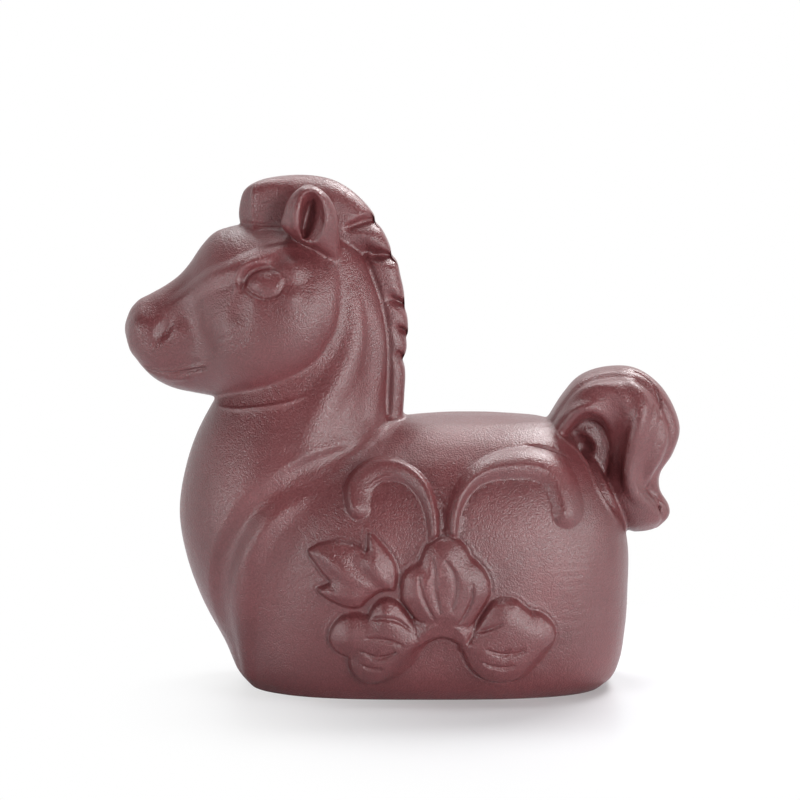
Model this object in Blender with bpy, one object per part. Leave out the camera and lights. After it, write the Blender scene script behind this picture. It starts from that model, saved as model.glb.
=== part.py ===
"""A horse-shaped tea pet: one piece of unglazed brown clay, hollow, with a firing vent in its base.

Sizes are in millimetres and are turned into metres when a mesh is made. The horse faces -X, +Z is up,
and the figure is the same on both sides of the plane Y = 0. Its skin is fused from a few lofted masses,
softened where they meet, pressed and raised along strokes, as a modeller's tool would do it, and
stretched to its final size.
"""

import math

import bmesh
import bpy
import numpy as np
from mathutils import Matrix, Vector
from mathutils.bvhtree import BVHTree

MM = 0.001

# Size of the finished figure; the tables below give its proportions, close to these sizes
LENGTH = 100.0
WIDTH = 49.7
HEIGHT = 92.1

# Clay wall, floor and the round firing vent in the floor
WALL = 5.0
FLOOR = 4.0
VENT_DIAMETER = 12.0
VENT_X = 4.0
NECK_HOLLOW_TOP = 66.0

# Half thicknesses across the figure
MANE_HALF = 5.0
MANE_EDGE = 2.0
WEB_HALF = 4.2
WEB_EDGE = 1.2

# Fineness of the skin
MASS_VOXEL = 1.0
VOXEL = 0.5
HOLLOW_VOXEL = 1.6
MERGE_GAP = 0.001
SKIN_TRIANGLES = 10300
HOLLOW_TRIANGLES = 700

# Fineness of the masses
RING_POINTS = 64
COLUMN_RINGS = 60
HEAD_RINGS = 70
TAIL_POINTS = 60
TAIL_RINGS = 90
EAR_POINTS = 40
HOLLOW_RINGS = 24
VENT_POINTS = 32

# Clay
CLAY_COLOUR = (0.181, 0.065, 0.065, 1.0)
CLAY_ROUGHNESS = 0.5

# Torso from the base up: height, rear end, front end, half width, squareness
TORSO = [
    (-1.0, 34.6, -25.6, 16.0, 2.9),
    (0.0, 35.6, -26.6, 17.2, 2.9),
    (1.5, 37.6, -28.0, 18.8, 2.9),
    (4.0, 38.8, -29.2, 20.2, 2.9),
    (10.0, 39.9, -30.0, 21.6, 2.9),
    (18.0, 40.4, -30.3, 22.8, 2.8),
    (26.0, 40.3, -29.0, 23.0, 2.8),
    (33.0, 38.6, -25.0, 22.0, 2.9),
    (39.0, 35.6, -19.0, 19.6, 2.9),
    (43.5, 32.2, -12.0, 16.4, 2.8),
    (46.5, 28.6, -6.0, 12.6, 2.6),
    (48.2, 24.5, -0.5, 8.2, 2.4),
    (48.9, 18.0, 5.0, 3.5, 2.2),
]

# Chest and neck from the base up: height, rear end, front end, half width, squareness
NECK = [
    (-1.0, 2.0, -27.0, 13.5, 2.3),
    (0.0, 2.0, -28.0, 14.3, 2.3),
    (2.0, 2.0, -29.8, 15.4, 2.3),
    (7.3, 2.0, -32.2, 16.6, 2.25),
    (14.7, 2.0, -36.1, 18.0, 2.2),
    (23.9, 1.0, -39.4, 18.8, 2.15),
    (31.3, 0.0, -40.5, 18.6, 2.1),
    (38.6, -1.0, -39.5, 17.4, 2.1),
    (45.9, -2.0, -37.1, 15.4, 2.1),
    (51.7, -2.4, -34.0, 13.6, 2.1),
    (57.0, -1.8, -31.0, 12.4, 2.1),
    (63.0, -1.6, -28.0, 11.6, 2.1),
    (69.0, -2.8, -26.0, 11.0, 2.1),
    (74.0, -4.6, -24.0, 10.2, 2.1),
    (78.5, -7.4, -22.0, 8.8, 2.1),
    (81.5, -11.0, -20.0, 6.0, 2.0),
]

# Head from nose to nape: distance along X, underside, top, half width
HEAD = [
    (-50.0, 63.6, 65.2, 1.0),
    (-49.3, 60.9, 67.2, 3.6),
    (-48.0, 58.9, 69.0, 5.4),
    (-45.5, 56.0, 70.5, 7.0),
    (-42.5, 54.1, 72.2, 7.8),
    (-39.8, 53.2, 74.3, 8.4),
    (-38.2, 52.9, 76.2, 8.9),
    (-36.6, 52.6, 78.6, 9.6),
    (-34.3, 52.2, 81.2, 10.8),
    (-31.0, 51.5, 82.6, 12.6),
    (-27.0, 51.1, 83.2, 14.4),
    (-22.5, 51.5, 83.5, 15.5),
    (-18.0, 53.2, 83.3, 15.4),
    (-14.0, 56.6, 82.4, 13.8),
    (-11.4, 61.2, 80.0, 11.0),
    (-10.0, 67.0, 76.0, 7.0),
    (-9.6, 70.0, 73.5, 2.0),
]
HEAD_WIDEST = 0.45
HEAD_TOP_SQUARENESS = 1.95
HEAD_JAW_SQUARENESS = 2.2

# Mane and forelock seen from the side: smooth runs that meet in corners, one run for each lock
MANE = [
    [(-26.0, 78.0), (-29.3, 83.7), (-29.1, 87.4), (-28.3, 89.3), (-26.2, 90.6), (-23.0, 91.4), (-17.5, 91.8),
     (-12.8, 91.0), (-9.3, 89.0), (-6.6, 86.4), (-5.0, 84.2)],
    [(-5.9, 83.9), (-4.2, 82.4), (-3.0, 80.3), (-2.2, 78.2)],
    [(-6.9, 78.3), (-3.8, 77.9), (-1.5, 76.7), (-0.6, 73.6), (0.0, 70.8), (0.2, 68.3)],
    [(-2.1, 70.2), (-0.3, 68.6), (0.6, 66.4), (0.8, 63.4)],
    [(-0.6, 64.6), (0.4, 62.4), (0.5, 60.9), (0.0, 59.4)],
    [(-0.7, 59.6), (0.2, 57.0), (0.1, 53.0), (-0.3, 47.0)],
    [(-8.0, 46.5), (-12.0, 60.0), (-16.0, 74.0)],
]
FORELOCK_FRONT = -29.3
FORELOCK_BACK = -26.6
FORELOCK_NARROWING = 0.5

# Tail from the rump to its tip: outer edge (x, z), inner edge (x, z), half width
TAIL = [
    (22.5, 43.0, 25.5, 37.0, 6.0),
    (25.8, 48.0, 28.2, 42.4, 7.6),
    (28.6, 52.4, 29.8, 45.4, 8.4),
    (31.8, 55.8, 31.4, 46.9, 9.0),
    (36.6, 57.4, 33.0, 47.5, 9.4),
    (42.0, 57.0, 34.8, 46.8, 9.7),
    (46.8, 53.2, 35.9, 45.0, 9.8),
    (49.6, 47.0, 36.1, 42.2, 9.6),
    (48.6, 42.2, 35.6, 39.2, 9.0),
    (46.3, 38.4, 35.0, 36.2, 8.2),
    (46.2, 35.2, 35.0, 33.2, 7.4),
    (47.8, 32.4, 36.6, 30.4, 6.0),
    (47.9, 30.3, 38.8, 28.4, 4.4),
    (46.0, 28.2, 41.5, 27.4, 2.0),
]
TAIL_FLUTE_ANGLE = 40.0
TAIL_FLUTE_SPREAD = 9.0
TAIL_FLUTE_DEPTH = 0.13

# Web that closes the loop of the tail
WEB = [(25.0, 44.0), (28.0, 50.0), (33.0, 52.5), (38.0, 50.0), (39.0, 42.0), (38.0, 34.0), (34.0, 34.0)]

# Ears from the root inside the head to the tip: height, front, back, middle and half depth
EAR_LEVELS = [
    (75.5, -14.4, -10.8, 5.6, 3.4),
    (78.4, -17.6, -11.2, 7.2, 4.0),
    (80.8, -20.6, -11.4, 8.8, 4.2),
    (83.2, -21.5, -11.5, 10.0, 4.1),
    (85.6, -21.1, -11.8, 10.7, 3.8),
    (87.6, -20.4, -12.6, 11.1, 3.3),
    (89.2, -19.3, -13.8, 11.3, 2.6),
    (90.2, -18.1, -15.2, 11.4, 1.6),
    (90.6, -17.3, -16.1, 11.4, 0.6),
]
EAR_RINGS = 32

# Hollow of an ear from its open side to the slit at its bottom: y, x, z, half width, half height, tilt
EAR_HOLLOW = [
    (17.0, -15.8, 84.6, 3.3, 6.2, -7.0),
    (14.4, -16.0, 84.6, 2.7, 5.4, -5.0),
    (12.8, -16.2, 84.5, 1.9, 4.4, 2.0),
    (11.4, -16.5, 84.7, 1.0, 3.4, 9.0),
    (10.2, -16.7, 84.9, 0.3, 2.6, 14.0),
]

# Where the masses blend: reach of the soft zone, height over which it sets in, and rounds of smoothing
BLEND_NEAR = 1.5
BLEND_FAR = 6.5
BLEND_FOOT = 2.0
BLEND_FULL_HEIGHT = 8.0
SMOOTH_FACTOR = 0.5
BLEND_ROUNDS = 40
SKIN_ROUNDS = 4
HOLLOW_ROUNDS = 10
OUTLINE_SPACING = 0.6
STROKE_SPACING = 0.3

# Strokes on the skin, seen from the side: (x, z, half width, height); a negative height presses in.
# The soft power makes a stroke run out gently and the dome power makes it stand up like a ball
SOFT_POWER = 2.0
DOME_POWER = 0.6
BROW = [(-42.0, 67.6, 2.0, 0.1), (-38.4, 70.4, 3.0, 0.5), (-34.5, 73.2, 3.4, 0.6), (-30.5, 75.8, 3.4, 0.6),
        (-26.0, 78.2, 3.0, 0.6), (-21.5, 79.6, 2.6, 0.4), (-18.5, 80.2, 2.0, 0.1)]
EYE_SOCKET = [(-27.4, 73.6, 2.4, -0.7), (-24.2, 74.3, 3.4, -1.1), (-20.8, 74.2, 2.4, -0.6)]
EYEBALL = [(-25.4, 73.3, 1.7, 0.8), (-24.2, 73.6, 2.3, 1.6), (-23.2, 73.7, 2.3, 1.6), (-21.9, 73.7, 1.7, 0.8)]
UPPER_LID = [(-28.6, 73.4, 0.9, 0.2), (-27.2, 75.3, 1.0, 0.6), (-24.6, 76.9, 1.1, 0.7),
             (-21.8, 76.7, 1.2, 0.7), (-19.4, 76.2, 1.8, 0.9)]
LOWER_LID = [(-28.8, 71.6, 0.7, -0.2), (-26.4, 71.4, 0.8, -0.5), (-23.8, 71.4, 0.8, -0.5),
             (-21.4, 72.1, 0.7, -0.4), (-19.8, 73.0, 0.7, -0.1)]
EYE_CORNER = [(-28.4, 71.4, 1.4, -0.5), (-27.8, 69.6, 1.8, -0.3)]
CHEEKBONE = [(-34.0, 68.6, 5.0, 0.5), (-30.0, 66.6, 5.0, 0.6)]
NOSTRIL = [(-40.6, 67.2, 1.0, -0.3), (-42.0, 65.3, 1.5, -1.3), (-43.8, 63.5, 1.3, -0.8),
           (-45.2, 62.9, 1.0, -0.2)]
NOSE_TIP = [(-46.2, 66.2, 2.6, 0.6)]
NOSTRIL_WING = [(-39.4, 64.9, 2.0, 0.6), (-40.4, 62.6, 2.0, 0.5)]
MOUTH = [(-47.4, 57.9, 0.7, -0.3), (-44.4, 57.4, 0.9, -0.7), (-41.0, 57.0, 0.9, -0.7),
         (-38.0, 57.4, 0.9, -0.6), (-34.2, 58.5, 0.9, -0.2)]
MOUTH_END = [(-33.0, 60.2, 1.6, -0.5)]
CHEEK_CREASE = [(-11.4, 80.6, 0.9, -0.3), (-10.1, 77.3, 1.1, -0.8), (-9.3, 72.3, 1.3, -1.1),
                (-9.3, 67.6, 1.3, -1.1), (-10.7, 61.7, 1.4, -1.1), (-13.1, 58.0, 1.4, -1.1),
                (-16.8, 55.2, 1.4, -1.0), (-21.7, 53.3, 1.3, -0.9), (-27.6, 52.1, 1.2, -0.7),
                (-33.0, 51.6, 1.0, -0.3)]
NECK_RIDGE = [(-8.0, 76.0, 2.0, 0.2), (-6.6, 71.0, 2.6, 0.6), (-6.2, 65.0, 2.8, 0.7), (-6.8, 59.0, 3.0, 0.7),
              (-9.0, 54.5, 3.2, 0.5), (-12.6, 50.5, 3.2, 0.2)]
LOCK_GROOVE = [(-11.2, 83.0, 0.7, -0.4), (-8.3, 83.4, 1.0, -1.1), (-5.0, 84.4, 1.0, -0.9)]
SHOULDER_VALLEY = [(-4.0, 47.8, 3.0, -0.3), (-11.2, 43.6, 4.0, -0.8), (-20.0, 40.6, 4.6, -1.0),
                   (-26.4, 34.6, 4.8, -1.0), (-29.6, 26.0, 4.4, -0.7), (-30.4, 18.0, 3.6, -0.2)]
SHOULDER = [(-21.0, 36.0, 4.0, 0.3), (-24.6, 30.0, 4.4, 0.7), (-26.6, 22.0, 4.0, 0.6),
            (-27.2, 12.0, 3.4, 0.5), (-27.4, 4.0, 3.0, 0.3)]
TAIL_HOLE = [(31.4, 45.6, 1.6, -0.8), (32.2, 43.8, 2.2, -2.6), (33.4, 41.6, 2.0, -2.0),
             (34.8, 38.4, 1.6, -0.9)]
TAIL_CURL = [(29.6, 46.8, 1.0, 0.2), (30.9, 48.6, 1.2, 0.7), (33.1, 49.5, 1.3, 0.9), (35.2, 48.6, 1.3, 0.8),
             (36.5, 46.0, 1.3, 0.5), (36.7, 43.0, 1.2, 0.1)]
TAIL_CURL_VALLEY = [(28.6, 48.2, 1.4, -0.3), (30.2, 51.2, 1.8, -0.9), (33.4, 52.4, 2.0, -1.1),
                    (36.8, 51.2, 2.0, -1.0), (38.6, 47.8, 2.0, -0.8), (38.8, 43.6, 1.8, -0.2)]
TAIL_STRAND_VALLEY = [(45.2, 49.6, 1.4, -0.4), (43.6, 45.4, 1.8, -0.8), (42.0, 41.2, 1.8, -0.9),
                      (42.2, 37.6, 1.6, -0.7), (43.6, 34.8, 1.4, -0.3)]
STROKES = [BROW, EYE_SOCKET, UPPER_LID, LOWER_LID, EYE_CORNER, CHEEKBONE, NOSTRIL, NOSE_TIP, NOSTRIL_WING,
           MOUTH, MOUTH_END, CHEEK_CREASE, NECK_RIDGE, LOCK_GROOVE, SHOULDER_VALLEY, SHOULDER, TAIL_HOLE,
           TAIL_CURL, TAIL_CURL_VALLEY, TAIL_STRAND_VALLEY]

# Relief on the flank, seen from the side: height, width of the rounded edge, smooth runs of the outline
PETAL_HEIGHT = 2.0
PETAL_EDGE = 2.4
TOP_PETAL = [
    [(5.6, 12.6), (3.0, 15.5), (0.3, 18.3), (-0.6, 20.6), (-0.5, 22.8), (0.6, 24.8), (2.3, 25.9)],
    [(2.3, 25.9), (3.0, 27.8), (5.2, 29.7), (7.9, 30.2), (10.1, 29.3), (11.5, 27.0)],
    [(11.5, 27.0), (13.7, 25.1), (15.0, 22.6), (15.1, 19.6), (13.7, 16.9), (11.9, 14.5), (9.6, 12.6)],
]
LEFT_PETAL = [
    [(5.2, 11.5), (3.0, 14.8), (-0.2, 18.3), (-2.6, 19.9), (-4.9, 19.0), (-6.6, 16.6)],
    [(-6.6, 16.6), (-9.8, 16.8), (-12.3, 15.3), (-13.3, 12.6), (-12.7, 10.1), (-11.1, 8.3), (-9.2, 7.5)],
    [(-9.2, 7.5), (-8.9, 5.4), (-7.4, 3.9), (-5.1, 3.2), (-2.0, 3.8), (0.7, 5.5), (2.5, 7.9), (3.4, 10.1)],
]
RIGHT_PETAL = [
    [(10.0, 11.7), (11.9, 14.5), (14.2, 18.0), (16.8, 19.4), (19.5, 18.6), (21.2, 16.7)],
    [(21.2, 16.7), (24.1, 15.7), (26.4, 13.4), (26.8, 10.8), (26.0, 8.4), (23.3, 6.0), (19.7, 4.2),
     (16.1, 4.0), (12.9, 5.6), (11.1, 8.4)],
]
LEAF_HEIGHT = 1.5
LEAF_EDGE = 2.4
LEAF = [
    [(-7.0, 30.6), (-4.6, 29.5), (-2.6, 27.5), (-1.4, 24.6), (-1.4, 20.9)],
    [(-2.8, 20.6), (-5.1, 19.9), (-7.0, 18.0)],
    [(-9.1, 17.7), (-11.8, 17.8), (-14.0, 18.8), (-15.4, 20.2)],
    [(-13.0, 21.6), (-15.4, 24.2), (-17.2, 26.8)],
    [(-15.4, 28.2), (-12.7, 29.2), (-10.0, 29.3), (-8.0, 28.8), (-6.5, 27.8)],
]
SCROLL_HEIGHT = 1.5
SCROLL_INNER_EDGE = 1.0
SCROLL_OUTER_EDGE = 2.4
LEFT_SCROLL_OUTER = [(6.3, 29.6), (6.1, 33.5), (5.2, 36.3), (3.4, 39.1), (0.3, 41.5), (-3.3, 42.4),
                     (-6.9, 41.9), (-9.6, 40.0), (-10.6, 37.4), (-10.2, 34.7), (-8.8, 32.8)]
LEFT_SCROLL_INNER = [(3.9, 29.6), (3.3, 33.9), (1.6, 36.9), (-0.6, 38.5), (-2.6, 38.9), (-4.6, 38.1),
                     (-5.7, 36.3), (-6.0, 34.2), (-7.4, 32.6)]
RIGHT_SCROLL_OUTER = [(6.8, 29.6), (7.0, 33.5), (8.1, 36.9), (10.6, 40.1), (13.8, 42.2), (17.9, 43.6),
                      (21.8, 43.8), (25.6, 42.8), (29.6, 39.8), (31.6, 36.2), (31.7, 33.1), (30.8, 31.1)]
RIGHT_SCROLL_INNER = [(9.4, 29.6), (9.7, 33.9), (11.5, 37.1), (14.6, 39.1), (18.7, 39.7), (22.3, 39.3),
                      (24.5, 37.8), (25.6, 35.7), (26.0, 33.3), (27.2, 31.2), (29.0, 30.4)]
VEIN_HALF_WIDTH = 0.9
VEIN_DEPTH = 0.5
VEINS = [
    [(2.5, 20.8), (2.8, 18.3), (4.3, 15.8)],
    [(4.8, 25.6), (4.5, 21.0), (5.9, 15.8)],
    [(7.2, 25.6), (8.4, 21.9), (8.5, 17.2)],
    [(11.0, 20.4), (11.6, 18.3), (11.3, 15.7)],
    [(-5.6, 14.7), (-1.9, 14.5), (1.4, 12.9)],
    [(-6.4, 11.4), (-3.3, 11.1), (-0.4, 10.7)],
    [(-6.4, 8.4), (-3.7, 8.0), (-1.3, 8.4)],
    [(-5.7, 6.6), (-3.7, 6.4), (-1.7, 7.0)],
    [(13.1, 12.7), (15.1, 13.9), (17.5, 14.8)],
    [(14.2, 9.6), (16.9, 9.2), (19.8, 9.3)],
    [(14.9, 7.3), (16.9, 7.0), (18.9, 7.3)],
]
FLOWER_HEART = [(7.4, 13.0, 3.4, -0.9)]
LEAF_MIDRIB = [(-13.0, 25.4, 1.4, 0.1), (-9.6, 22.8, 1.8, 0.3), (-6.6, 21.8, 1.8, 0.3),
               (-3.6, 22.2, 1.4, 0.1)]

# The relief fades out where the skin turns this far from the side, and swells by this power at its edges
RELIEF_TURN = 0.35
CUSHION_POWER = 0.6


def ease(value):
    """Go softly from 0 to 1 while value goes from 0 to 1."""
    return (1 - np.cos(np.pi * np.clip(value, 0.0, 1.0))) / 2


def interpolate(rows, at):
    """Read a smooth curve through rows, whose first column is the place on it."""
    rows = np.array(rows, float)
    place, values = rows[:, 0], rows[:, 1:]
    span = np.diff(place)[:, None]
    slope = np.diff(values, axis=0) / span
    inner = (slope[:-1] * span[1:] + slope[1:] * span[:-1]) / (span[1:] + span[:-1])
    tangent = np.vstack([slope[:1], inner, slope[-1:]])
    index = np.clip(np.searchsorted(place, at, side="right") - 1, 0, len(place) - 2)
    width = span[index]
    t = (np.asarray(at) - place[index])[:, None] / width
    return ((2 * t**3 - 3 * t**2 + 1) * values[index] + (t**3 - 2 * t**2 + t) * width * tangent[index]
            + (3 * t**2 - 2 * t**3) * values[index + 1] + (t**3 - t**2) * width * tangent[index + 1])


def smooth_run(points, spacing):
    """Spread points along a smooth curve through the given ones, about one for each spacing."""
    points = np.array(points, float)
    if len(points) == 1:
        return points
    lengths = np.linalg.norm(np.diff(points[:, :2], axis=0), axis=1)
    count = max(3, round(lengths.sum() / spacing) + 1)
    place = np.concatenate([[0.0], np.cumsum(np.sqrt(lengths))])
    return interpolate(np.column_stack([place, points]), np.linspace(0.0, place[-1], count))


def outline_of(runs):
    """Join smooth runs into one closed outline that keeps a corner between them."""
    return np.vstack([smooth_run(run, OUTLINE_SPACING) for run in runs])


def superellipse(half_x, half_y, squareness):
    """One rounded-square ring around the origin."""
    angle = np.linspace(0.0, 2 * np.pi, RING_POINTS, endpoint=False)
    power = 2 / squareness
    x = np.sign(np.cos(angle)) * np.abs(np.cos(angle)) ** power
    y = np.sign(np.sin(angle)) * np.abs(np.sin(angle)) ** power
    return half_x * x, half_y * y


def new_object(name, mesh):
    """Put a mesh into the scene."""
    thing = bpy.data.objects.new(name, mesh)
    bpy.context.scene.collection.objects.link(thing)
    return thing


def loft(name, rings):
    """Bridge rings of equal length into one closed body with flat ends."""
    bm = bmesh.new()
    loops = [[bm.verts.new(Vector(point) * MM) for point in ring] for ring in rings]
    for lower, upper in zip(loops, loops[1:]):
        for i, corner in enumerate(lower):
            j = (i + 1) % len(lower)
            bm.faces.new((corner, lower[j], upper[j], upper[i]))
    bm.faces.new(loops[0])
    bm.faces.new(loops[-1])
    bmesh.ops.recalc_face_normals(bm, faces=bm.faces)
    mesh = bpy.data.meshes.new(name)
    bm.to_mesh(mesh)
    bm.free()
    return new_object(name, mesh)


def column(name, levels):
    """Loft horizontal rings up through a table of levels."""
    heights = np.linspace(levels[0][0], levels[-1][0], COLUMN_RINGS)
    rings = []
    for height, (rear, front, half_width, squareness) in zip(heights, interpolate(levels, heights)):
        x, y = superellipse((rear - front) / 2, half_width, squareness)
        rings.append(np.column_stack([x + (rear + front) / 2, y, np.full(len(x), height)]))
    return loft(name, rings)


def head_mass():
    """Loft upright rings from the nose to the nape."""
    places = np.linspace(HEAD[0][0], HEAD[-1][0], HEAD_RINGS)
    rings = []
    for place, (under, top, half_width) in zip(places, interpolate(HEAD, places)):
        middle = under + HEAD_WIDEST * (top - under)
        upper_y, upper_z = superellipse(half_width, top - middle, HEAD_TOP_SQUARENESS)
        lower_y, lower_z = superellipse(half_width, middle - under, HEAD_JAW_SQUARENESS)
        above = upper_z > 0
        y = np.where(above, upper_y, lower_y)
        z = middle + np.where(above, upper_z, lower_z)
        rings.append(np.column_stack([np.full(len(y), place), y, z]))
    return loft("head", rings)


def tail_mass():
    """Loft flattened, fluted rings along the tail."""
    rows = interpolate([(i, *row) for i, row in enumerate(TAIL)], np.linspace(0, len(TAIL) - 1, TAIL_RINGS))
    angle = np.linspace(-180.0, 180.0, TAIL_POINTS, endpoint=False)
    flute = TAIL_FLUTE_DEPTH * np.exp(-((np.abs(angle) - TAIL_FLUTE_ANGLE) / TAIL_FLUTE_SPREAD) ** 2)
    across = np.cos(np.radians(angle)) * (1 - flute)
    sideways = np.sin(np.radians(angle)) * (1 - flute)
    rings = []
    for outer_x, outer_z, inner_x, inner_z, half_width in rows:
        x = (outer_x + inner_x) / 2 + across * (outer_x - inner_x) / 2
        z = (outer_z + inner_z) / 2 + across * (outer_z - inner_z) / 2
        rings.append(np.column_stack([x, sideways * half_width, z]))
    return loft("tail", rings)


def plate(name, outline, half_thickness, edge):
    """An upright plate in the plane Y = 0 with its edges rounded over."""
    curve = bpy.data.curves.new(name, "CURVE")
    curve.dimensions = "2D"
    curve.fill_mode = "BOTH"
    curve.extrude = half_thickness * MM
    spline = curve.splines.new("POLY")
    spline.use_cyclic_u = True
    spline.points.add(len(outline) - 1)
    for point, (x, z) in zip(spline.points, outline):
        point.co = (x * MM, z * MM, 0.0, 1.0)
    guide = new_object(name, curve)
    mesh = evaluated_mesh(guide)
    bpy.data.objects.remove(guide)
    mesh.transform(Matrix.Rotation(math.pi / 2, 4, "X"))
    bm = bmesh.new()
    bm.from_mesh(mesh)
    bmesh.ops.remove_doubles(bm, verts=bm.verts, dist=MERGE_GAP * MM)
    bmesh.ops.recalc_face_normals(bm, faces=bm.faces)
    bm.to_mesh(mesh)
    bm.free()
    body = fuse(name, [new_object(name, mesh)], VOXEL)
    points = points_of(body)
    limit = half_thickness - edge + edge * rounded(inside_depth(points[:, [0, 2]], outline), edge)
    points[:, 1] = np.clip(points[:, 1], -limit, limit)
    set_points(body, points)
    return body


def mane_mass():
    """The mane and forelock, narrowed towards the front of the forelock."""
    mane = plate("mane", outline_of(MANE), MANE_HALF, MANE_EDGE)
    points = points_of(mane)
    front = ease((FORELOCK_BACK - points[:, 0]) / (FORELOCK_BACK - FORELOCK_FRONT))
    points[:, 1] *= 1 - FORELOCK_NARROWING * front
    set_points(mane, points)
    return mane


def ear_hollow(side):
    """A leaf-shaped cutter that narrows to a slit."""
    angle = np.linspace(0.0, 2 * np.pi, EAR_POINTS, endpoint=False)
    rings = []
    for y, x, z, half_width, half_height, tilt in EAR_HOLLOW:
        across, along = half_width * np.cos(angle), half_height * np.sin(angle)
        turn = math.radians(tilt)
        rings.append(np.column_stack([
            x + across * math.cos(turn) + along * math.sin(turn),
            np.full(EAR_POINTS, side * y),
            z - across * math.sin(turn) + along * math.cos(turn),
        ]))
    return loft("ear_hollow", rings)


def ear_mass(side):
    """One ear, hollowed from its outer side."""
    rings = []
    heights = np.linspace(EAR_LEVELS[0][0], EAR_LEVELS[-1][0], EAR_RINGS)
    for height, (front, back, middle, half_depth) in zip(heights, interpolate(EAR_LEVELS, heights)):
        x, y = superellipse((back - front) / 2, half_depth, 2)
        rings.append(np.column_stack([(front + back) / 2 + x, side * (middle + y), np.full_like(x, height)]))
    ear = loft("ear", rings)
    subtract(ear, ear_hollow(side))
    return ear


def evaluated_mesh(thing):
    """The mesh of an object as its modifiers leave it."""
    bpy.context.view_layer.update()
    return bpy.data.meshes.new_from_object(thing.evaluated_get(bpy.context.evaluated_depsgraph_get()))


def bake(thing):
    """Turn an object's modifiers into its mesh."""
    mesh = evaluated_mesh(thing)
    thing.modifiers.clear()
    thing.data = mesh


def subtract(thing, cutter):
    """Cut one closed body out of another."""
    modifier = thing.modifiers.new("cut", "BOOLEAN")
    modifier.operation = "DIFFERENCE"
    modifier.solver = "EXACT"
    modifier.object = cutter
    bake(thing)
    bpy.data.objects.remove(cutter)


def fuse(name, masses, voxel):
    """Join overlapping masses into one even skin."""
    bm = bmesh.new()
    for mass in masses:
        bm.from_mesh(mass.data)
        bpy.data.objects.remove(mass)
    mesh = bpy.data.meshes.new(name)
    bm.to_mesh(mesh)
    bm.free()
    skin = new_object(name, mesh)
    modifier = skin.modifiers.new("remesh", "REMESH")
    modifier.mode = "VOXEL"
    modifier.voxel_size = voxel * MM
    modifier.adaptivity = 0.0
    bake(skin)
    return skin


def drop_crumbs(thing):
    """Keep only the largest connected body of a mesh."""
    bm = bmesh.new()
    bm.from_mesh(thing.data)
    unseen = set(bm.verts)
    bodies = []
    while unseen:
        body = set()
        front = [unseen.pop()]
        while front:
            corner = front.pop()
            body.add(corner)
            ring = {edge.other_vert(corner) for edge in corner.link_edges} & unseen
            unseen -= ring
            front.extend(ring)
        bodies.append(body)
    largest = max(bodies, key=len)
    bmesh.ops.delete(bm, geom=[corner for corner in bm.verts if corner not in largest], context="VERTS")
    bm.to_mesh(thing.data)
    bm.free()


def points_of(thing):
    """The vertices of a mesh in millimetres."""
    flat = np.empty(len(thing.data.vertices) * 3)
    thing.data.vertices.foreach_get("co", flat)
    return flat.reshape(-1, 3) / MM


def normals_of(thing):
    """The vertex normals of a mesh."""
    flat = np.empty(len(thing.data.vertices) * 3)
    thing.data.vertices.foreach_get("normal", flat)
    return flat.reshape(-1, 3)


def set_points(thing, points):
    """Move the vertices of a mesh."""
    thing.data.vertices.foreach_set("co", (points * MM).ravel())
    thing.data.update()


def soften(thing, weights, rounds):
    """Smooth a mesh where the weights are high."""
    group = thing.vertex_groups.new(name="soft")
    for index in np.flatnonzero(weights > 0):
        group.add([int(index)], float(weights[index]), "REPLACE")
    modifier = thing.modifiers.new("soft", "SMOOTH")
    modifier.factor = SMOOTH_FACTOR
    modifier.iterations = round(rounds)
    modifier.vertex_group = group.name
    bake(thing)
    thing.vertex_groups.clear()


def distance_to(tree, points):
    """How far each point is from a surface."""
    return np.array([tree.find_nearest(Vector(point) * MM)[3] for point in points]) / MM


def trunk_mass():
    """Torso and chest, blended into each other."""
    torso = column("torso", TORSO)
    neck = column("neck", NECK)
    bpy.context.view_layer.update()
    trees = [BVHTree.FromObject(mass, bpy.context.evaluated_depsgraph_get()) for mass in (torso, neck)]
    trunk = fuse("trunk", [torso, neck], MASS_VOXEL)
    points = points_of(trunk)
    apart = np.maximum(*[distance_to(tree, points) for tree in trees])
    near = 1 - ease((apart - BLEND_NEAR) / (BLEND_FAR - BLEND_NEAR))
    above_foot = ease((points[:, 2] - BLEND_FOOT) / (BLEND_FULL_HEIGHT - BLEND_FOOT))
    soften(trunk, near * above_foot, BLEND_ROUNDS)
    return trunk


def press(thing, strokes, power=SOFT_POWER):
    """Press or raise the skin along strokes, on both sides of the figure."""
    points = points_of(thing)
    bpy.context.view_layer.update()
    tree = BVHTree.FromObject(thing, bpy.context.evaluated_depsgraph_get())
    folded = points * (1, 0, 1) - np.abs(points) * (0, 1, 0)
    rise = np.zeros(len(points))
    for stroke in strokes:
        samples = smooth_run(stroke, STROKE_SPACING)
        track = []
        for x, z, half_width, height in samples:
            place = tree.ray_cast(Vector((x, -WIDTH, z)) * MM, Vector((0.0, 1.0, 0.0)))[0]
            if place is not None:
                track.append((*(place / MM), half_width, height))
        if not track:
            continue
        track = np.array(track)
        reach = track[:, 3].max()
        near = np.flatnonzero(np.all((folded > track[:, :3].min(axis=0) - reach)
                                     & (folded < track[:, :3].max(axis=0) + reach), axis=1))
        gaps = np.linalg.norm(folded[near, None, :] - track[None, :, :3], axis=2)
        closest = gaps.argmin(axis=1)
        ratio = np.clip(gaps[np.arange(len(near)), closest] / track[closest, 3], 0.0, 1.0)
        rise[near] += track[closest, 4] * (1 - ratio**2) ** power
    set_points(thing, points + normals_of(thing) * rise[:, None])


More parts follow.
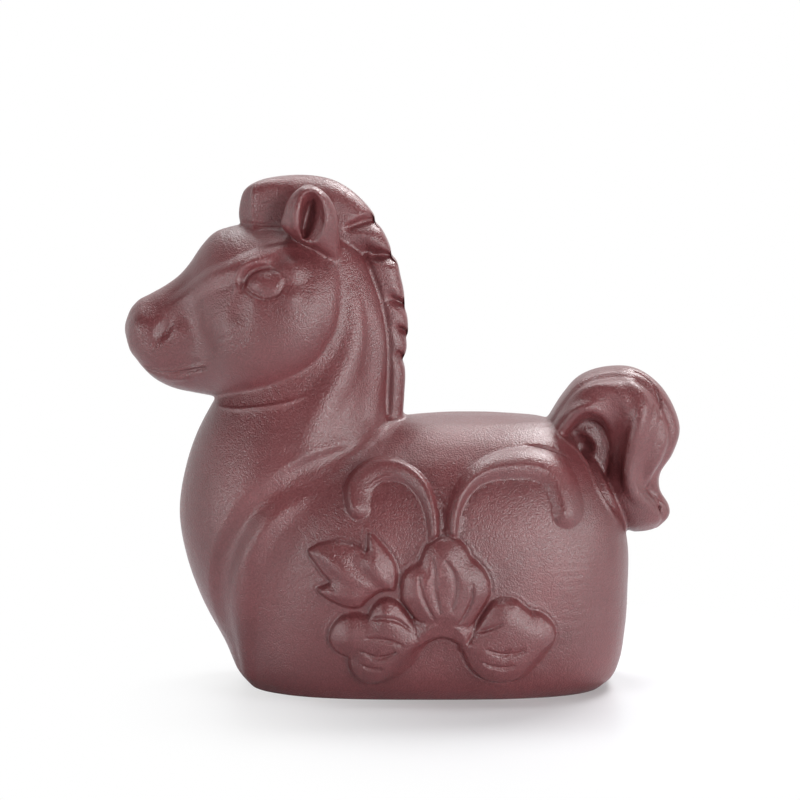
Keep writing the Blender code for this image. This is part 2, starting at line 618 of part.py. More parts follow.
def inside_depth(points, outline):
    """Distance of side-view points to a closed outline, positive inside."""
    crossings = np.zeros(len(points), int)
    depth = np.full(len(points), np.inf)
    for (ax, az), (bx, bz) in zip(outline, np.roll(outline, -1, axis=0)):
        run = np.array((bx - ax, bz - az))
        length = run @ run
        offset = points - (ax, az)
        t = np.clip(offset @ run / length, 0.0, 1.0) if length > 0 else np.zeros(len(points))
        depth = np.minimum(depth, np.linalg.norm(offset - t[:, None] * run, axis=1))
        if az != bz:
            spans = (points[:, 1] > az) != (points[:, 1] > bz)
            crossings += spans & (points[:, 0] < ax + (points[:, 1] - az) * (bx - ax) / (bz - az))
    return np.where(crossings % 2 == 1, depth, -depth)


def rounded(depth, width):
    """Rise like a well-filled cushion from 0 at the edge to 1 at the given width."""
    return np.sin(np.clip(depth / width, 0.0, 1.0) * np.pi / 2) ** CUSHION_POWER


def distance_to_line(points, line):
    """Distance of side-view points to an open line."""
    return np.min([np.linalg.norm(points - place, axis=1) for place in line], axis=0)


def scroll_height(points, outer, inner):
    """A scroll's height: steep at its inner edge and running out softly at its outer one."""
    outer = smooth_run(outer, STROKE_SPACING)
    inner = smooth_run(inner, STROKE_SPACING)
    depth = inside_depth(points, np.vstack([outer, inner[::-1]]))
    steep = rounded(distance_to_line(points, inner), SCROLL_INNER_EDGE)
    soft = rounded(distance_to_line(points, outer), SCROLL_OUTER_EDGE)
    return np.where(depth > 0, SCROLL_HEIGHT * steep * soft, 0.0)


def raise_relief(thing):
    """Raise the flower, leaf and scrolls on both flanks."""
    points = points_of(thing)
    normals = normals_of(thing)
    turned = np.abs(normals[:, 1])
    near = np.flatnonzero((turned > RELIEF_TURN / 2) & (np.abs(points[:, 1]) > 2 * MANE_HALF))
    view = points[near][:, [0, 2]]
    height = np.maximum(scroll_height(view, LEFT_SCROLL_OUTER, LEFT_SCROLL_INNER),
                        scroll_height(view, RIGHT_SCROLL_OUTER, RIGHT_SCROLL_INNER))
    height = np.maximum(height, LEAF_HEIGHT * rounded(inside_depth(view, outline_of(LEAF)), LEAF_EDGE))
    for petal in (TOP_PETAL, LEFT_PETAL, RIGHT_PETAL):
        height = np.maximum(height, PETAL_HEIGHT * rounded(inside_depth(view, outline_of(petal)), PETAL_EDGE))
    rise = np.zeros(len(points))
    rise[near] = height * ease(turned[near] / RELIEF_TURN - 1 / 2)
    set_points(thing, points + normals * rise[:, None])


def horse_skin():
    """The whole figure as one closed skin, with its relief and modelling."""
    masses = [trunk_mass(), head_mass(), mane_mass(), tail_mass(), ear_mass(-1), ear_mass(1)]
    masses.append(plate("web", outline_of([WEB]), WEB_HALF, WEB_EDGE))
    skin = fuse("tea_pet", masses, VOXEL)
    drop_crumbs(skin)
    soften(skin, np.ones(len(skin.data.vertices)), SKIN_ROUNDS)
    press(skin, STROKES)
    press(skin, [EYEBALL], DOME_POWER)
    raise_relief(skin)
    veins = [[(x, z, VEIN_HALF_WIDTH, -VEIN_DEPTH) for x, z in vein] for vein in VEINS]
    press(skin, veins + [FLOWER_HEART, LEAF_MIDRIB])
    return skin


def flatten_base(thing):
    """Cut the skin flat at the height of the table and close it."""
    bm = bmesh.new()
    bm.from_mesh(thing.data)
    geometry = bm.verts[:] + bm.edges[:] + bm.faces[:]
    cut = bmesh.ops.bisect_plane(bm, geom=geometry, plane_co=(0, 0, 0), plane_no=(0, 0, 1), clear_inner=True)
    rim = [edge for edge in cut["geom_cut"] if isinstance(edge, bmesh.types.BMEdge)]
    bmesh.ops.triangle_fill(bm, edges=rim, use_dissolve=True)
    bmesh.ops.recalc_face_normals(bm, faces=bm.faces)
    bm.to_mesh(thing.data)
    bm.free()


def thin_out(thing, triangles):
    """Keep only the triangles that the form needs."""
    count = sum(len(face.vertices) - 2 for face in thing.data.polygons)
    modifier = thing.modifiers.new("thin", "DECIMATE")
    modifier.ratio = triangles / count
    modifier.use_collapse_triangulate = True
    bake(thing)


def fit_to_size(thing):
    """Stretch the figure to its length, width and height; returns how far along each axis."""
    points = points_of(thing)
    stretch = np.array((LENGTH, WIDTH, HEIGHT)) / (points.max(axis=0) - points.min(axis=0))
    set_points(thing, points * stretch)
    return stretch


def inner_levels(levels, top, stretch):
    """The levels of a hollow that lies one wall inside a stretched column."""
    levels = np.array(levels) * (stretch[2], stretch[0], stretch[0], stretch[1], 1.0)
    heights = np.linspace(FLOOR, top, HOLLOW_RINGS)
    here = interpolate(levels, heights)
    above = interpolate(levels, np.minimum(heights + WALL, levels[-1][0]))
    rear = np.minimum(here[:, 0] - WALL, above[:, 0])
    front = np.maximum(here[:, 1] + WALL, above[:, 1])
    half_width = np.minimum(here[:, 2] - WALL, above[:, 2])
    return [tuple(row) for row in np.column_stack([heights, rear, front, half_width, here[:, 3]])]


def hollow_out(thing, stretch):
    """Take out the hollow of the body and neck, and the vent that opens it."""
    body = column("body_hollow", inner_levels(TORSO, TORSO[-1][0] * stretch[2] - WALL, stretch))
    neck = column("neck_hollow", inner_levels(NECK, NECK_HOLLOW_TOP * stretch[2], stretch))
    hollow = fuse("hollow", [body, neck], HOLLOW_VOXEL)
    soften(hollow, np.ones(len(hollow.data.vertices)), HOLLOW_ROUNDS)
    thin_out(hollow, HOLLOW_TRIANGLES)
    subtract(thing, hollow)
    bm = bmesh.new()
    radius = VENT_DIAMETER / 2 * MM
    depth = 2 * (FLOOR + WALL) * MM
    bmesh.ops.create_cone(bm, cap_ends=True, segments=VENT_POINTS, radius1=radius, radius2=radius,
                          depth=depth)
    mesh = bpy.data.meshes.new("vent")
    bm.to_mesh(mesh)
    bm.free()
    mesh.transform(Matrix.Translation((VENT_X * stretch[0] * MM, 0.0, 0.0)))
    subtract(thing, new_object("vent", mesh))


def centre_on_base(thing):
    """Set the origin at the middle of the bounding box's underside."""
    points = points_of(thing)
    middle = (points.min(axis=0) + points.max(axis=0)) / 2
    set_points(thing, points - (middle[0], middle[1], points[:, 2].min()))


def clay():
    """Unglazed brown clay with a soft sheen."""
    material = bpy.data.materials.new("clay")
    material.use_nodes = True
    shader = material.node_tree.nodes["Principled BSDF"]
    shader.inputs["Base Color"].default_value = CLAY_COLOUR
    shader.inputs["Roughness"].default_value = CLAY_ROUGHNESS
    shader.inputs["Metallic"].default_value = 0.0
    return material


def main():
    """Make the tea pet."""
    for thing in list(bpy.data.objects):
        bpy.data.objects.remove(thing)
    horse = horse_skin()
    flatten_base(horse)
    thin_out(horse, SKIN_TRIANGLES)
    hollow_out(horse, fit_to_size(horse))
    centre_on_base(horse)
    horse.data.materials.clear()
    horse.data.materials.append(clay())
    horse.data.shade_smooth()


main()
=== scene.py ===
import math

import bmesh
import bpy
import numpy as np
from mathutils import Matrix, Vector
from mathutils.bvhtree import BVHTree


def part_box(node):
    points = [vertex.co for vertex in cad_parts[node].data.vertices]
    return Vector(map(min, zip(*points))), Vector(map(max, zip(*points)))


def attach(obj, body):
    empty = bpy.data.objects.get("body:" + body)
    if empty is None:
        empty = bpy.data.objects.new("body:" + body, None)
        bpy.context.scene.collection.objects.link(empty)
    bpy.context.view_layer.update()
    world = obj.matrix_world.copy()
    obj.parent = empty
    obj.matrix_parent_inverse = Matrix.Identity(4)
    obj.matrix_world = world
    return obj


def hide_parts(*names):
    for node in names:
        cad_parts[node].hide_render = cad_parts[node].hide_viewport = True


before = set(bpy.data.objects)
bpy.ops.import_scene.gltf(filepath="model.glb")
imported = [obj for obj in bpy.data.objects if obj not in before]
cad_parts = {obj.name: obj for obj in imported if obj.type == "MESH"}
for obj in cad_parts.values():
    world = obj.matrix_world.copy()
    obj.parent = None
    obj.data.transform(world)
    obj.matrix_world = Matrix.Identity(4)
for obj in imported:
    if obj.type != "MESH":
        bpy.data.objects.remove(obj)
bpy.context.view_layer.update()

# Shapes are drawn in millimetres, seen from the side as (x, z); the horse faces -X
mm = 0.001

skinGrain = {
    "massVoxel": 1.0,
    "plateVoxel": 0.5,
    "voxel": 0.32,
    "triangles": 186000,
    "smoothRounds": 5,
    "smoothShare": 0.5,
    "leastWeight": 0.01,
    "outlineStep": 0.4,
}


# Curves through listed points

def ease(value):
    t = np.clip(value, 0.0, 1.0)
    return t * t * (3.0 - 2.0 * t)


def readCurve(rows, at):
    # smooth curve through rows of (place, values...), read at other places
    rows = np.array(rows, float)
    place, values = rows[:, 0], rows[:, 1:]
    span = np.diff(place)[:, None]
    slope = np.diff(values, axis=0) / span
    inner = (slope[:-1] * span[1:] + slope[1:] * span[:-1]) / (span[1:] + span[:-1])
    tangent = np.vstack([slope[:1], inner, slope[-1:]])
    index = np.clip(np.searchsorted(place, at, side="right") - 1, 0, len(place) - 2)
    width = span[index]
    t = (np.asarray(at) - place[index])[:, None] / width
    return ((2 * t**3 - 3 * t**2 + 1) * values[index] + (t**3 - 2 * t**2 + t) * width * tangent[index]
            + (3 * t**2 - 2 * t**3) * values[index + 1] + (t**3 - t**2) * width * tangent[index + 1])


def smoothRun(points, step):
    points = np.array(points, float)
    if len(points) < 2:
        return points
    lengths = np.linalg.norm(np.diff(points[:, :2], axis=0), axis=1)
    count = max(3, round(lengths.sum() / step) + 1)
    place = np.concatenate([[0.0], np.cumsum(np.sqrt(lengths))])
    return readCurve(np.column_stack([place, points]), np.linspace(0.0, place[-1], count))


def outlineOf(runs, edge=None):
    # smooth runs joined end to end, with a corner between two runs; edge is the width where a row has none
    if edge is not None:
        runs = [[(*row, edge)[:3] for row in run] for run in runs]
    return np.vstack([smoothRun(run, skinGrain["outlineStep"]) for run in runs])


def roundedRing(halfX, halfY, squareness, count=96):
    # an oval at squareness 2, squarer above it
    angle = np.linspace(0.0, 2.0 * np.pi, count, endpoint=False)
    power = 2.0 / squareness
    x = np.sign(np.cos(angle)) * np.abs(np.cos(angle)) ** power
    y = np.sign(np.sin(angle)) * np.abs(np.sin(angle)) ** power
    return halfX * x, halfY * y


# Mesh helpers

def newObject(name, data):
    thing = bpy.data.objects.new(name, data)
    bpy.context.scene.collection.objects.link(thing)
    return thing


def bakeModifiers(thing):
    bpy.context.view_layer.update()
    graph = bpy.context.evaluated_depsgraph_get()
    mesh = bpy.data.meshes.new_from_object(thing.evaluated_get(graph))
    thing.modifiers.clear()
    thing.data = mesh


def pointsOf(thing):
    flat = np.empty(len(thing.data.vertices) * 3)
    thing.data.vertices.foreach_get("co", flat)
    return flat.reshape(-1, 3) / mm


def normalsOf(thing):
    flat = np.empty(len(thing.data.vertices) * 3)
    thing.data.vertices.foreach_get("normal", flat)
    return flat.reshape(-1, 3)


def setPoints(thing, points):
    thing.data.vertices.foreach_set("co", (points * mm).ravel())
    thing.data.update()


def loftRings(name, rings):
    bm = bmesh.new()
    loops = [[bm.verts.new(Vector(point) * mm) for point in ring] for ring in rings]
    for lower, upper in zip(loops, loops[1:]):
        for i, corner in enumerate(lower):
            j = (i + 1) % len(lower)
            bm.faces.new((corner, lower[j], upper[j], upper[i]))
    bm.faces.new(loops[0])
    bm.faces.new(loops[-1])
    bmesh.ops.recalc_face_normals(bm, faces=bm.faces)
    mesh = bpy.data.meshes.new(name)
    bm.to_mesh(mesh)
    bm.free()
    return newObject(name, mesh)


def fuseMasses(name, masses, voxel):
    bm = bmesh.new()
    for mass in masses:
        bm.from_mesh(mass.data)
        bpy.data.objects.remove(mass)
    mesh = bpy.data.meshes.new(name)
    bm.to_mesh(mesh)
    bm.free()
    skin = newObject(name, mesh)
    remesh = skin.modifiers.new("remesh", "REMESH")
    remesh.mode = "VOXEL"
    remesh.voxel_size = voxel * mm
    remesh.adaptivity = 0.0
    bakeModifiers(skin)
    return skin


def keepLargestBody(thing):
    bm = bmesh.new()
    bm.from_mesh(thing.data)
    unseen = set(bm.verts)
    bodies = []
    while unseen:
        body = set()
        front = [unseen.pop()]
        while front:
            corner = front.pop()
            body.add(corner)
            ring = {edge.other_vert(corner) for edge in corner.link_edges} & unseen
            unseen -= ring
            front.extend(ring)
        bodies.append(body)
    largest = max(bodies, key=len)
    bmesh.ops.delete(bm, geom=[corner for corner in bm.verts if corner not in largest], context="VERTS")
    bm.to_mesh(thing.data)
    bm.free()


def softenSkin(thing, weights, rounds):
    group = thing.vertex_groups.new(name="soft")
    for index in np.flatnonzero(weights > skinGrain["leastWeight"]):
        group.add([int(index)], float(weights[index]), "REPLACE")
    smooth = thing.modifiers.new("soft", "SMOOTH")
    smooth.factor = skinGrain["smoothShare"]
    smooth.iterations = rounds
    smooth.vertex_group = group.name
    bakeModifiers(thing)
    thing.vertex_groups.clear()


def cutAway(thing, cutter):
    cut = thing.modifiers.new("cut", "BOOLEAN")
    cut.operation = "DIFFERENCE"
    cut.solver = "EXACT"
    cut.object = cutter
    bakeModifiers(thing)
    bpy.data.objects.remove(cutter)


def thinOut(thing, triangles):
    count = sum(len(face.vertices) - 2 for face in thing.data.polygons)
    if count <= triangles:
        return
    thin = thing.modifiers.new("thin", "DECIMATE")
    thin.ratio = triangles / count
    thin.use_collapse_triangulate = True
    bakeModifiers(thing)


def edgedDepth(points, outline):
    # distance to a closed outline of (x, z, edge width), positive inside, and the width at the nearest place
    crossings = np.zeros(len(points), int)
    depth = np.full(len(points), np.inf)
    width = np.ones(len(points))
    for (ax, az, aw), (bx, bz, bw) in zip(outline, np.roll(outline, -1, axis=0)):
        run = np.array((bx - ax, bz - az))
        length = run @ run
        offset = points - (ax, az)
        t = np.clip(offset @ run / length, 0.0, 1.0) if length > 0 else np.zeros(len(points))
        gap = np.linalg.norm(offset - t[:, None] * run, axis=1)
        closer = gap < depth
        depth[closer] = gap[closer]
        width[closer] = (aw + t * (bw - aw))[closer]
        if az != bz:
            spans = (points[:, 1] > az) != (points[:, 1] > bz)
            crossings += spans & (points[:, 0] < ax + (points[:, 1] - az) * (bx - ax) / (bz - az))
    return np.where(crossings % 2 == 1, depth, -depth), width


def depthInside(points, outline):
    return edgedDepth(points, np.column_stack([outline, np.ones(len(outline))]))[0]


# Body and chest

body = {
    # height, rear end, front end, half width, squareness
    "torso": [
        (-1.0, 34.6, -25.6, 16.0, 2.9),
        (0.0, 35.6, -26.6, 17.2, 2.9),
        (1.5, 37.6, -28.0, 18.8, 2.9),
        (4.0, 38.8, -29.2, 20.2, 2.9),
        (10.0, 39.9, -30.0, 21.6, 2.9),
        (18.0, 40.4, -30.3, 22.8, 2.8),
        (26.0, 40.3, -29.0, 23.0, 2.8),
        (33.0, 38.6, -25.0, 22.0, 2.9),
        (39.0, 35.6, -19.0, 19.6, 2.9),
        (43.5, 32.2, -12.0, 16.4, 2.8),
        (46.5, 28.6, -6.0, 12.6, 2.6),
        (48.2, 24.5, -0.5, 8.2, 2.4),
        (48.9, 18.0, 5.0, 3.5, 2.2),
    ],
    "neck": [
        (-1.0, 2.0, -27.0, 13.5, 2.3),
        (0.0, 2.0, -28.0, 14.3, 2.3),
        (2.0, 2.0, -29.8, 15.4, 2.3),
        (7.3, 2.0, -32.2, 16.6, 2.25),
        (14.7, 2.0, -36.1, 18.0, 2.2),
        (23.9, 1.0, -39.4, 18.8, 2.15),
        (31.3, 0.0, -40.5, 18.6, 2.1),
        (38.6, -1.0, -39.5, 17.4, 2.1),
        (45.9, -2.0, -37.1, 15.4, 2.1),
        (51.7, -2.4, -34.0, 13.6, 2.1),
        (57.0, -1.8, -31.0, 12.4, 2.1),
        (63.0, -1.6, -28.0, 11.6, 2.1),
        (69.0, -2.8, -26.0, 11.0, 2.1),
        (74.0, -4.6, -24.0, 10.2, 2.1),
        (78.5, -7.4, -22.0, 8.8, 2.1),
        (81.5, -11.0, -20.0, 6.0, 2.0),
    ],
    "blendReach": (1.5, 6.5),
    "blendRounds": 40,
    "footHeight": (2.0, 8.0),  # the blend fades out below this
}


def levelColumn(name, levels, count=60):
    heights = np.linspace(levels[0][0], levels[-1][0], count)
    rings = []
    for height, (rear, front, halfWidth, squareness) in zip(heights, readCurve(levels, heights)):
        x, y = roundedRing((rear - front) / 2, halfWidth, squareness)
        rings.append(np.column_stack([x + (rear + front) / 2, y, np.full(len(x), height)]))
    return loftRings(name, rings)


def makeTrunk():
    torso = levelColumn("torso", body["torso"])
    neck = levelColumn("neck", body["neck"])
    bpy.context.view_layer.update()
    graph = bpy.context.evaluated_depsgraph_get()
    trees = [BVHTree.FromObject(mass, graph) for mass in (torso, neck)]
    trunk = fuseMasses("trunk", [torso, neck], skinGrain["massVoxel"])
    points = pointsOf(trunk)
    apart = [max(tree.find_nearest(Vector(point) * mm)[3] for tree in trees) for point in points]
    apart = np.array(apart) / mm
    near, far = body["blendReach"]
    low, high = body["footHeight"]
    weights = (1 - ease((apart - near) / (far - near))) * ease((points[:, 2] - low) / (high - low))
    softenSkin(trunk, weights, body["blendRounds"])
    return trunk


# Head

head = {
    # distance along X, underside, top, half width
    "stations": [
        (-50.0, 63.6, 65.2, 1.0),
        (-49.3, 60.9, 67.2, 3.6),
        (-48.0, 58.9, 69.0, 5.5),
        (-45.5, 56.0, 70.5, 7.0),
        (-42.5, 54.1, 72.2, 7.6),
        (-39.8, 53.2, 74.3, 7.8),
        (-38.2, 52.9, 76.2, 8.1),
        (-36.6, 52.6, 78.6, 8.9),
        (-34.3, 52.2, 81.2, 10.6),
        (-31.0, 51.5, 82.6, 13.2),
        (-27.0, 51.1, 83.2, 15.0),
        (-22.5, 51.5, 83.5, 15.7),
        (-18.0, 53.2, 83.3, 15.4),
        (-14.0, 56.6, 82.4, 13.8),
        (-11.4, 61.2, 80.0, 11.0),
        (-10.0, 67.0, 76.0, 7.0),
        (-9.6, 70.0, 73.5, 2.0),
    ],
    "widestAt": 0.45,
    "topSquareness": 1.95,
    "jawSquareness": 2.2,
}


def makeHead(count=90):
    places = np.linspace(head["stations"][0][0], head["stations"][-1][0], count)
    rings = []
    for place, (under, top, halfWidth) in zip(places, readCurve(head["stations"], places)):
        middle = under + head["widestAt"] * (top - under)
        upperY, upperZ = roundedRing(halfWidth, top - middle, head["topSquareness"])
        lowerY, lowerZ = roundedRing(halfWidth, middle - under, head["jawSquareness"])
        y = np.where(upperZ > 0, upperY, lowerY)
        z = middle + np.where(upperZ > 0, upperZ, lowerZ)
        rings.append(np.column_stack([np.full(len(y), place), y, z]))
    return loftRings("head", rings)


# Mane with its forelock

mane = {
    "halfThickness": 5.0,
    # rounding of the edge: (x, width)
    "edge": [(-30.0, 2.2), (-24.0, 2.2), (-16.0, 4.8), (-8.0, 4.0), (-3.0, 2.3), (2.0, 2.3)],
    "locks": [
        [(-26.0, 78.0), (-29.3, 83.7), (-29.1, 87.4), (-28.3, 89.3), (-26.2, 90.6), (-23.0, 91.4),
         (-17.5, 91.8), (-12.8, 91.0), (-9.3, 89.0), (-6.6, 86.4), (-5.0, 84.2)],
        [(-5.9, 83.9), (-4.2, 82.4), (-3.0, 80.3), (-2.2, 78.2)],
        [(-6.9, 78.3), (-3.8, 77.9), (-1.5, 76.7), (-0.6, 73.6), (0.0, 70.8), (0.2, 68.3)],
        [(-2.1, 70.2), (-0.3, 68.6), (0.6, 66.4), (0.8, 63.4)],
        [(-0.6, 64.6), (0.4, 62.4), (0.5, 60.9), (0.0, 59.4)],
        [(-0.7, 59.6), (0.2, 57.0), (0.1, 53.0), (-0.3, 47.0)],
        [(-8.0, 46.5), (-12.0, 60.0), (-16.0, 74.0)],
    ],
    "forelockFront": -29.3,
    "forelockBack": -26.6,
    "forelockNarrowing": 0.5,
}


def makePlate(name, outline, halfThickness, edge):
    curve = bpy.data.curves.new(name, "CURVE")
    curve.dimensions = "2D"
    curve.fill_mode = "BOTH"
    curve.extrude = halfThickness * mm
    spline = curve.splines.new("POLY")
    spline.use_cyclic_u = True
    spline.points.add(len(outline) - 1)
    for point, (x, z) in zip(spline.points, outline):
        point.co = (x * mm, z * mm, 0.0, 1.0)
    guide = newObject(name, curve)
    bpy.context.view_layer.update()
    mesh = bpy.data.meshes.new_from_object(guide.evaluated_get(bpy.context.evaluated_depsgraph_get()))
    bpy.data.objects.remove(guide)
    mesh.transform(Matrix.Rotation(math.pi / 2, 4, "X"))
    bm = bmesh.new()
    bm.from_mesh(mesh)
    bmesh.ops.remove_doubles(bm, verts=bm.verts, dist=1e-6)
    bmesh.ops.recalc_face_normals(bm, faces=bm.faces)
    bm.to_mesh(mesh)
    bm.free()
    plate = fuseMasses(name, [newObject(name, mesh)], skinGrain["plateVoxel"])
    points = pointsOf(plate)
    if np.ndim(edge):
        edge = readCurve(edge, np.clip(points[:, 0], edge[0][0], edge[-1][0]))[:, 0]
    depth = np.clip(depthInside(points[:, [0, 2]], outline) / edge, 0.0, 1.0)
    limit = halfThickness - edge + edge * np.sqrt(1 - (1 - depth) ** 2)  # quarter-round edge
    points[:, 1] = np.clip(points[:, 1], -limit, limit)
    setPoints(plate, points)
    return plate


def makeMane():
    plate = makePlate("mane", outlineOf(mane["locks"]), mane["halfThickness"], mane["edge"])
    points = pointsOf(plate)
    reach = mane["forelockBack"] - mane["forelockFront"]
    front = np.clip((mane["forelockBack"] - points[:, 0]) / reach, 0.0, 1.0)
    points[:, 1] *= 1 - mane["forelockNarrowing"] * front
    setPoints(plate, points)
    return plate


# Tail

tail = {
    # outer edge (x, z), inner edge (x, z), half width
    "rungs": [
        (22.5, 43.0, 25.5, 37.0, 6.0),
        (25.8, 48.0, 28.2, 42.4, 7.6),
        (28.6, 52.4, 29.8, 45.4, 8.4),
        (31.8, 55.8, 31.4, 46.9, 9.0),
        (36.6, 57.4, 33.0, 47.5, 9.4),
        (42.0, 57.0, 34.8, 46.8, 9.7),
        (46.8, 53.2, 35.9, 45.0, 9.8),
        (49.6, 47.0, 36.1, 42.2, 9.6),
        (48.6, 42.2, 35.6, 39.2, 9.0),
        (46.3, 38.4, 35.0, 36.2, 8.2),
        (46.2, 35.2, 35.0, 33.2, 7.4),
        (47.8, 32.4, 36.6, 30.4, 6.0),
        (47.9, 30.3, 38.8, 28.4, 4.4),
        (46.0, 28.2, 41.5, 27.4, 2.0),
    ],
    "fluteAngle": 40.0,
    "fluteSpread": 9.0,
    "fluteDepth": 0.13,
    "web": [(25.0, 44.0), (28.0, 50.0), (33.0, 52.5), (38.0, 50.0), (39.0, 42.0), (38.0, 34.0),
            (34.0, 34.0)],
    "webHalf": 4.2,
    "webEdge": 1.2,
}


def makeTail(count=120, around=90):
    numbered = [(i, *row) for i, row in enumerate(tail["rungs"])]
    rows = readCurve(numbered, np.linspace(0, len(numbered) - 1, count))
    angle = np.linspace(-180.0, 180.0, around, endpoint=False)
    flute = tail["fluteDepth"] * np.exp(-((np.abs(angle) - tail["fluteAngle"]) / tail["fluteSpread"]) ** 2)
    across = np.cos(np.radians(angle)) * (1 - flute)
    sideways = np.sin(np.radians(angle)) * (1 - flute)
    rings = []
    for outerX, outerZ, innerX, innerZ, halfWidth in rows:
        x = (outerX + innerX) / 2 + across * (outerX - innerX) / 2
        z = (outerZ + innerZ) / 2 + across * (outerZ - innerZ) / 2
        rings.append(np.column_stack([x, sideways * halfWidth, z]))
    return loftRings("tail", rings)


# Ears

ears = {
    # from the root inside the head to the tip: (z, front, back, middle y, half depth)
    "levels": [
        (75.0, -12.8, -10.6, 4.6, 3.0),
        (77.4, -14.0, -10.9, 6.2, 3.4),
        (79.2, -16.0, -11.2, 7.6, 3.9),
        (81.0, -19.2, -11.4, 8.9, 4.1),
        (83.2, -21.5, -11.5, 10.0, 4.1),
        (85.6, -21.1, -11.8, 10.7, 3.8),
        (87.6, -20.4, -12.6, 11.1, 3.3),
        (89.2, -19.3, -13.8, 11.3, 2.6),
        (90.2, -18.1, -15.2, 11.4, 1.6),
        (90.6, -17.3, -16.1, 11.4, 0.6),
    ],
    # the hollow narrows from an open leaf shape to a slit: (y, x, z, half width, half height, tilt)
    "hollow": [
        (17.0, -15.8, 84.6, 3.5, 6.2, -7.0),
        (14.4, -16.0, 84.6, 2.8, 5.5, -5.0),
        (12.8, -16.2, 84.6, 2.0, 4.6, 2.0),
        (11.4, -16.8, 84.6, 1.1, 3.6, 11.0),
        (9.4, -17.2, 84.6, 0.35, 3.0, 16.0),
    ],
}


def makeEarHollow(side, count=48):
    angle = np.linspace(0.0, 2.0 * np.pi, count, endpoint=False)
    rings = []
    for y, x, z, halfWidth, halfHeight, tilt in ears["hollow"]:
        across, along = halfWidth * np.cos(angle), halfHeight * np.sin(angle)
        turn = math.radians(tilt)
        rings.append(np.column_stack([
            x + across * math.cos(turn) + along * math.sin(turn),
            np.full(count, side * y),
            z - across * math.sin(turn) + along * math.cos(turn),
        ]))
    return loftRings("earHollow", rings)


def makeEar(side, count=48):
    heights = np.linspace(ears["levels"][0][0], ears["levels"][-1][0], count)
    rings = []
    for height, (front, back, middle, halfDepth) in zip(heights, readCurve(ears["levels"], heights)):
        x, y = roundedRing((back - front) / 2, halfDepth, 2.0)
        rings.append(np.column_stack([(front + back) / 2 + x, side * (middle + y), np.full_like(x, height)]))
    ear = loftRings("ear", rings)
    cutAway(ear, makeEarHollow(side))
    return ear


# Strokes that press or raise the clay: (x, z, half width, height), negative presses in

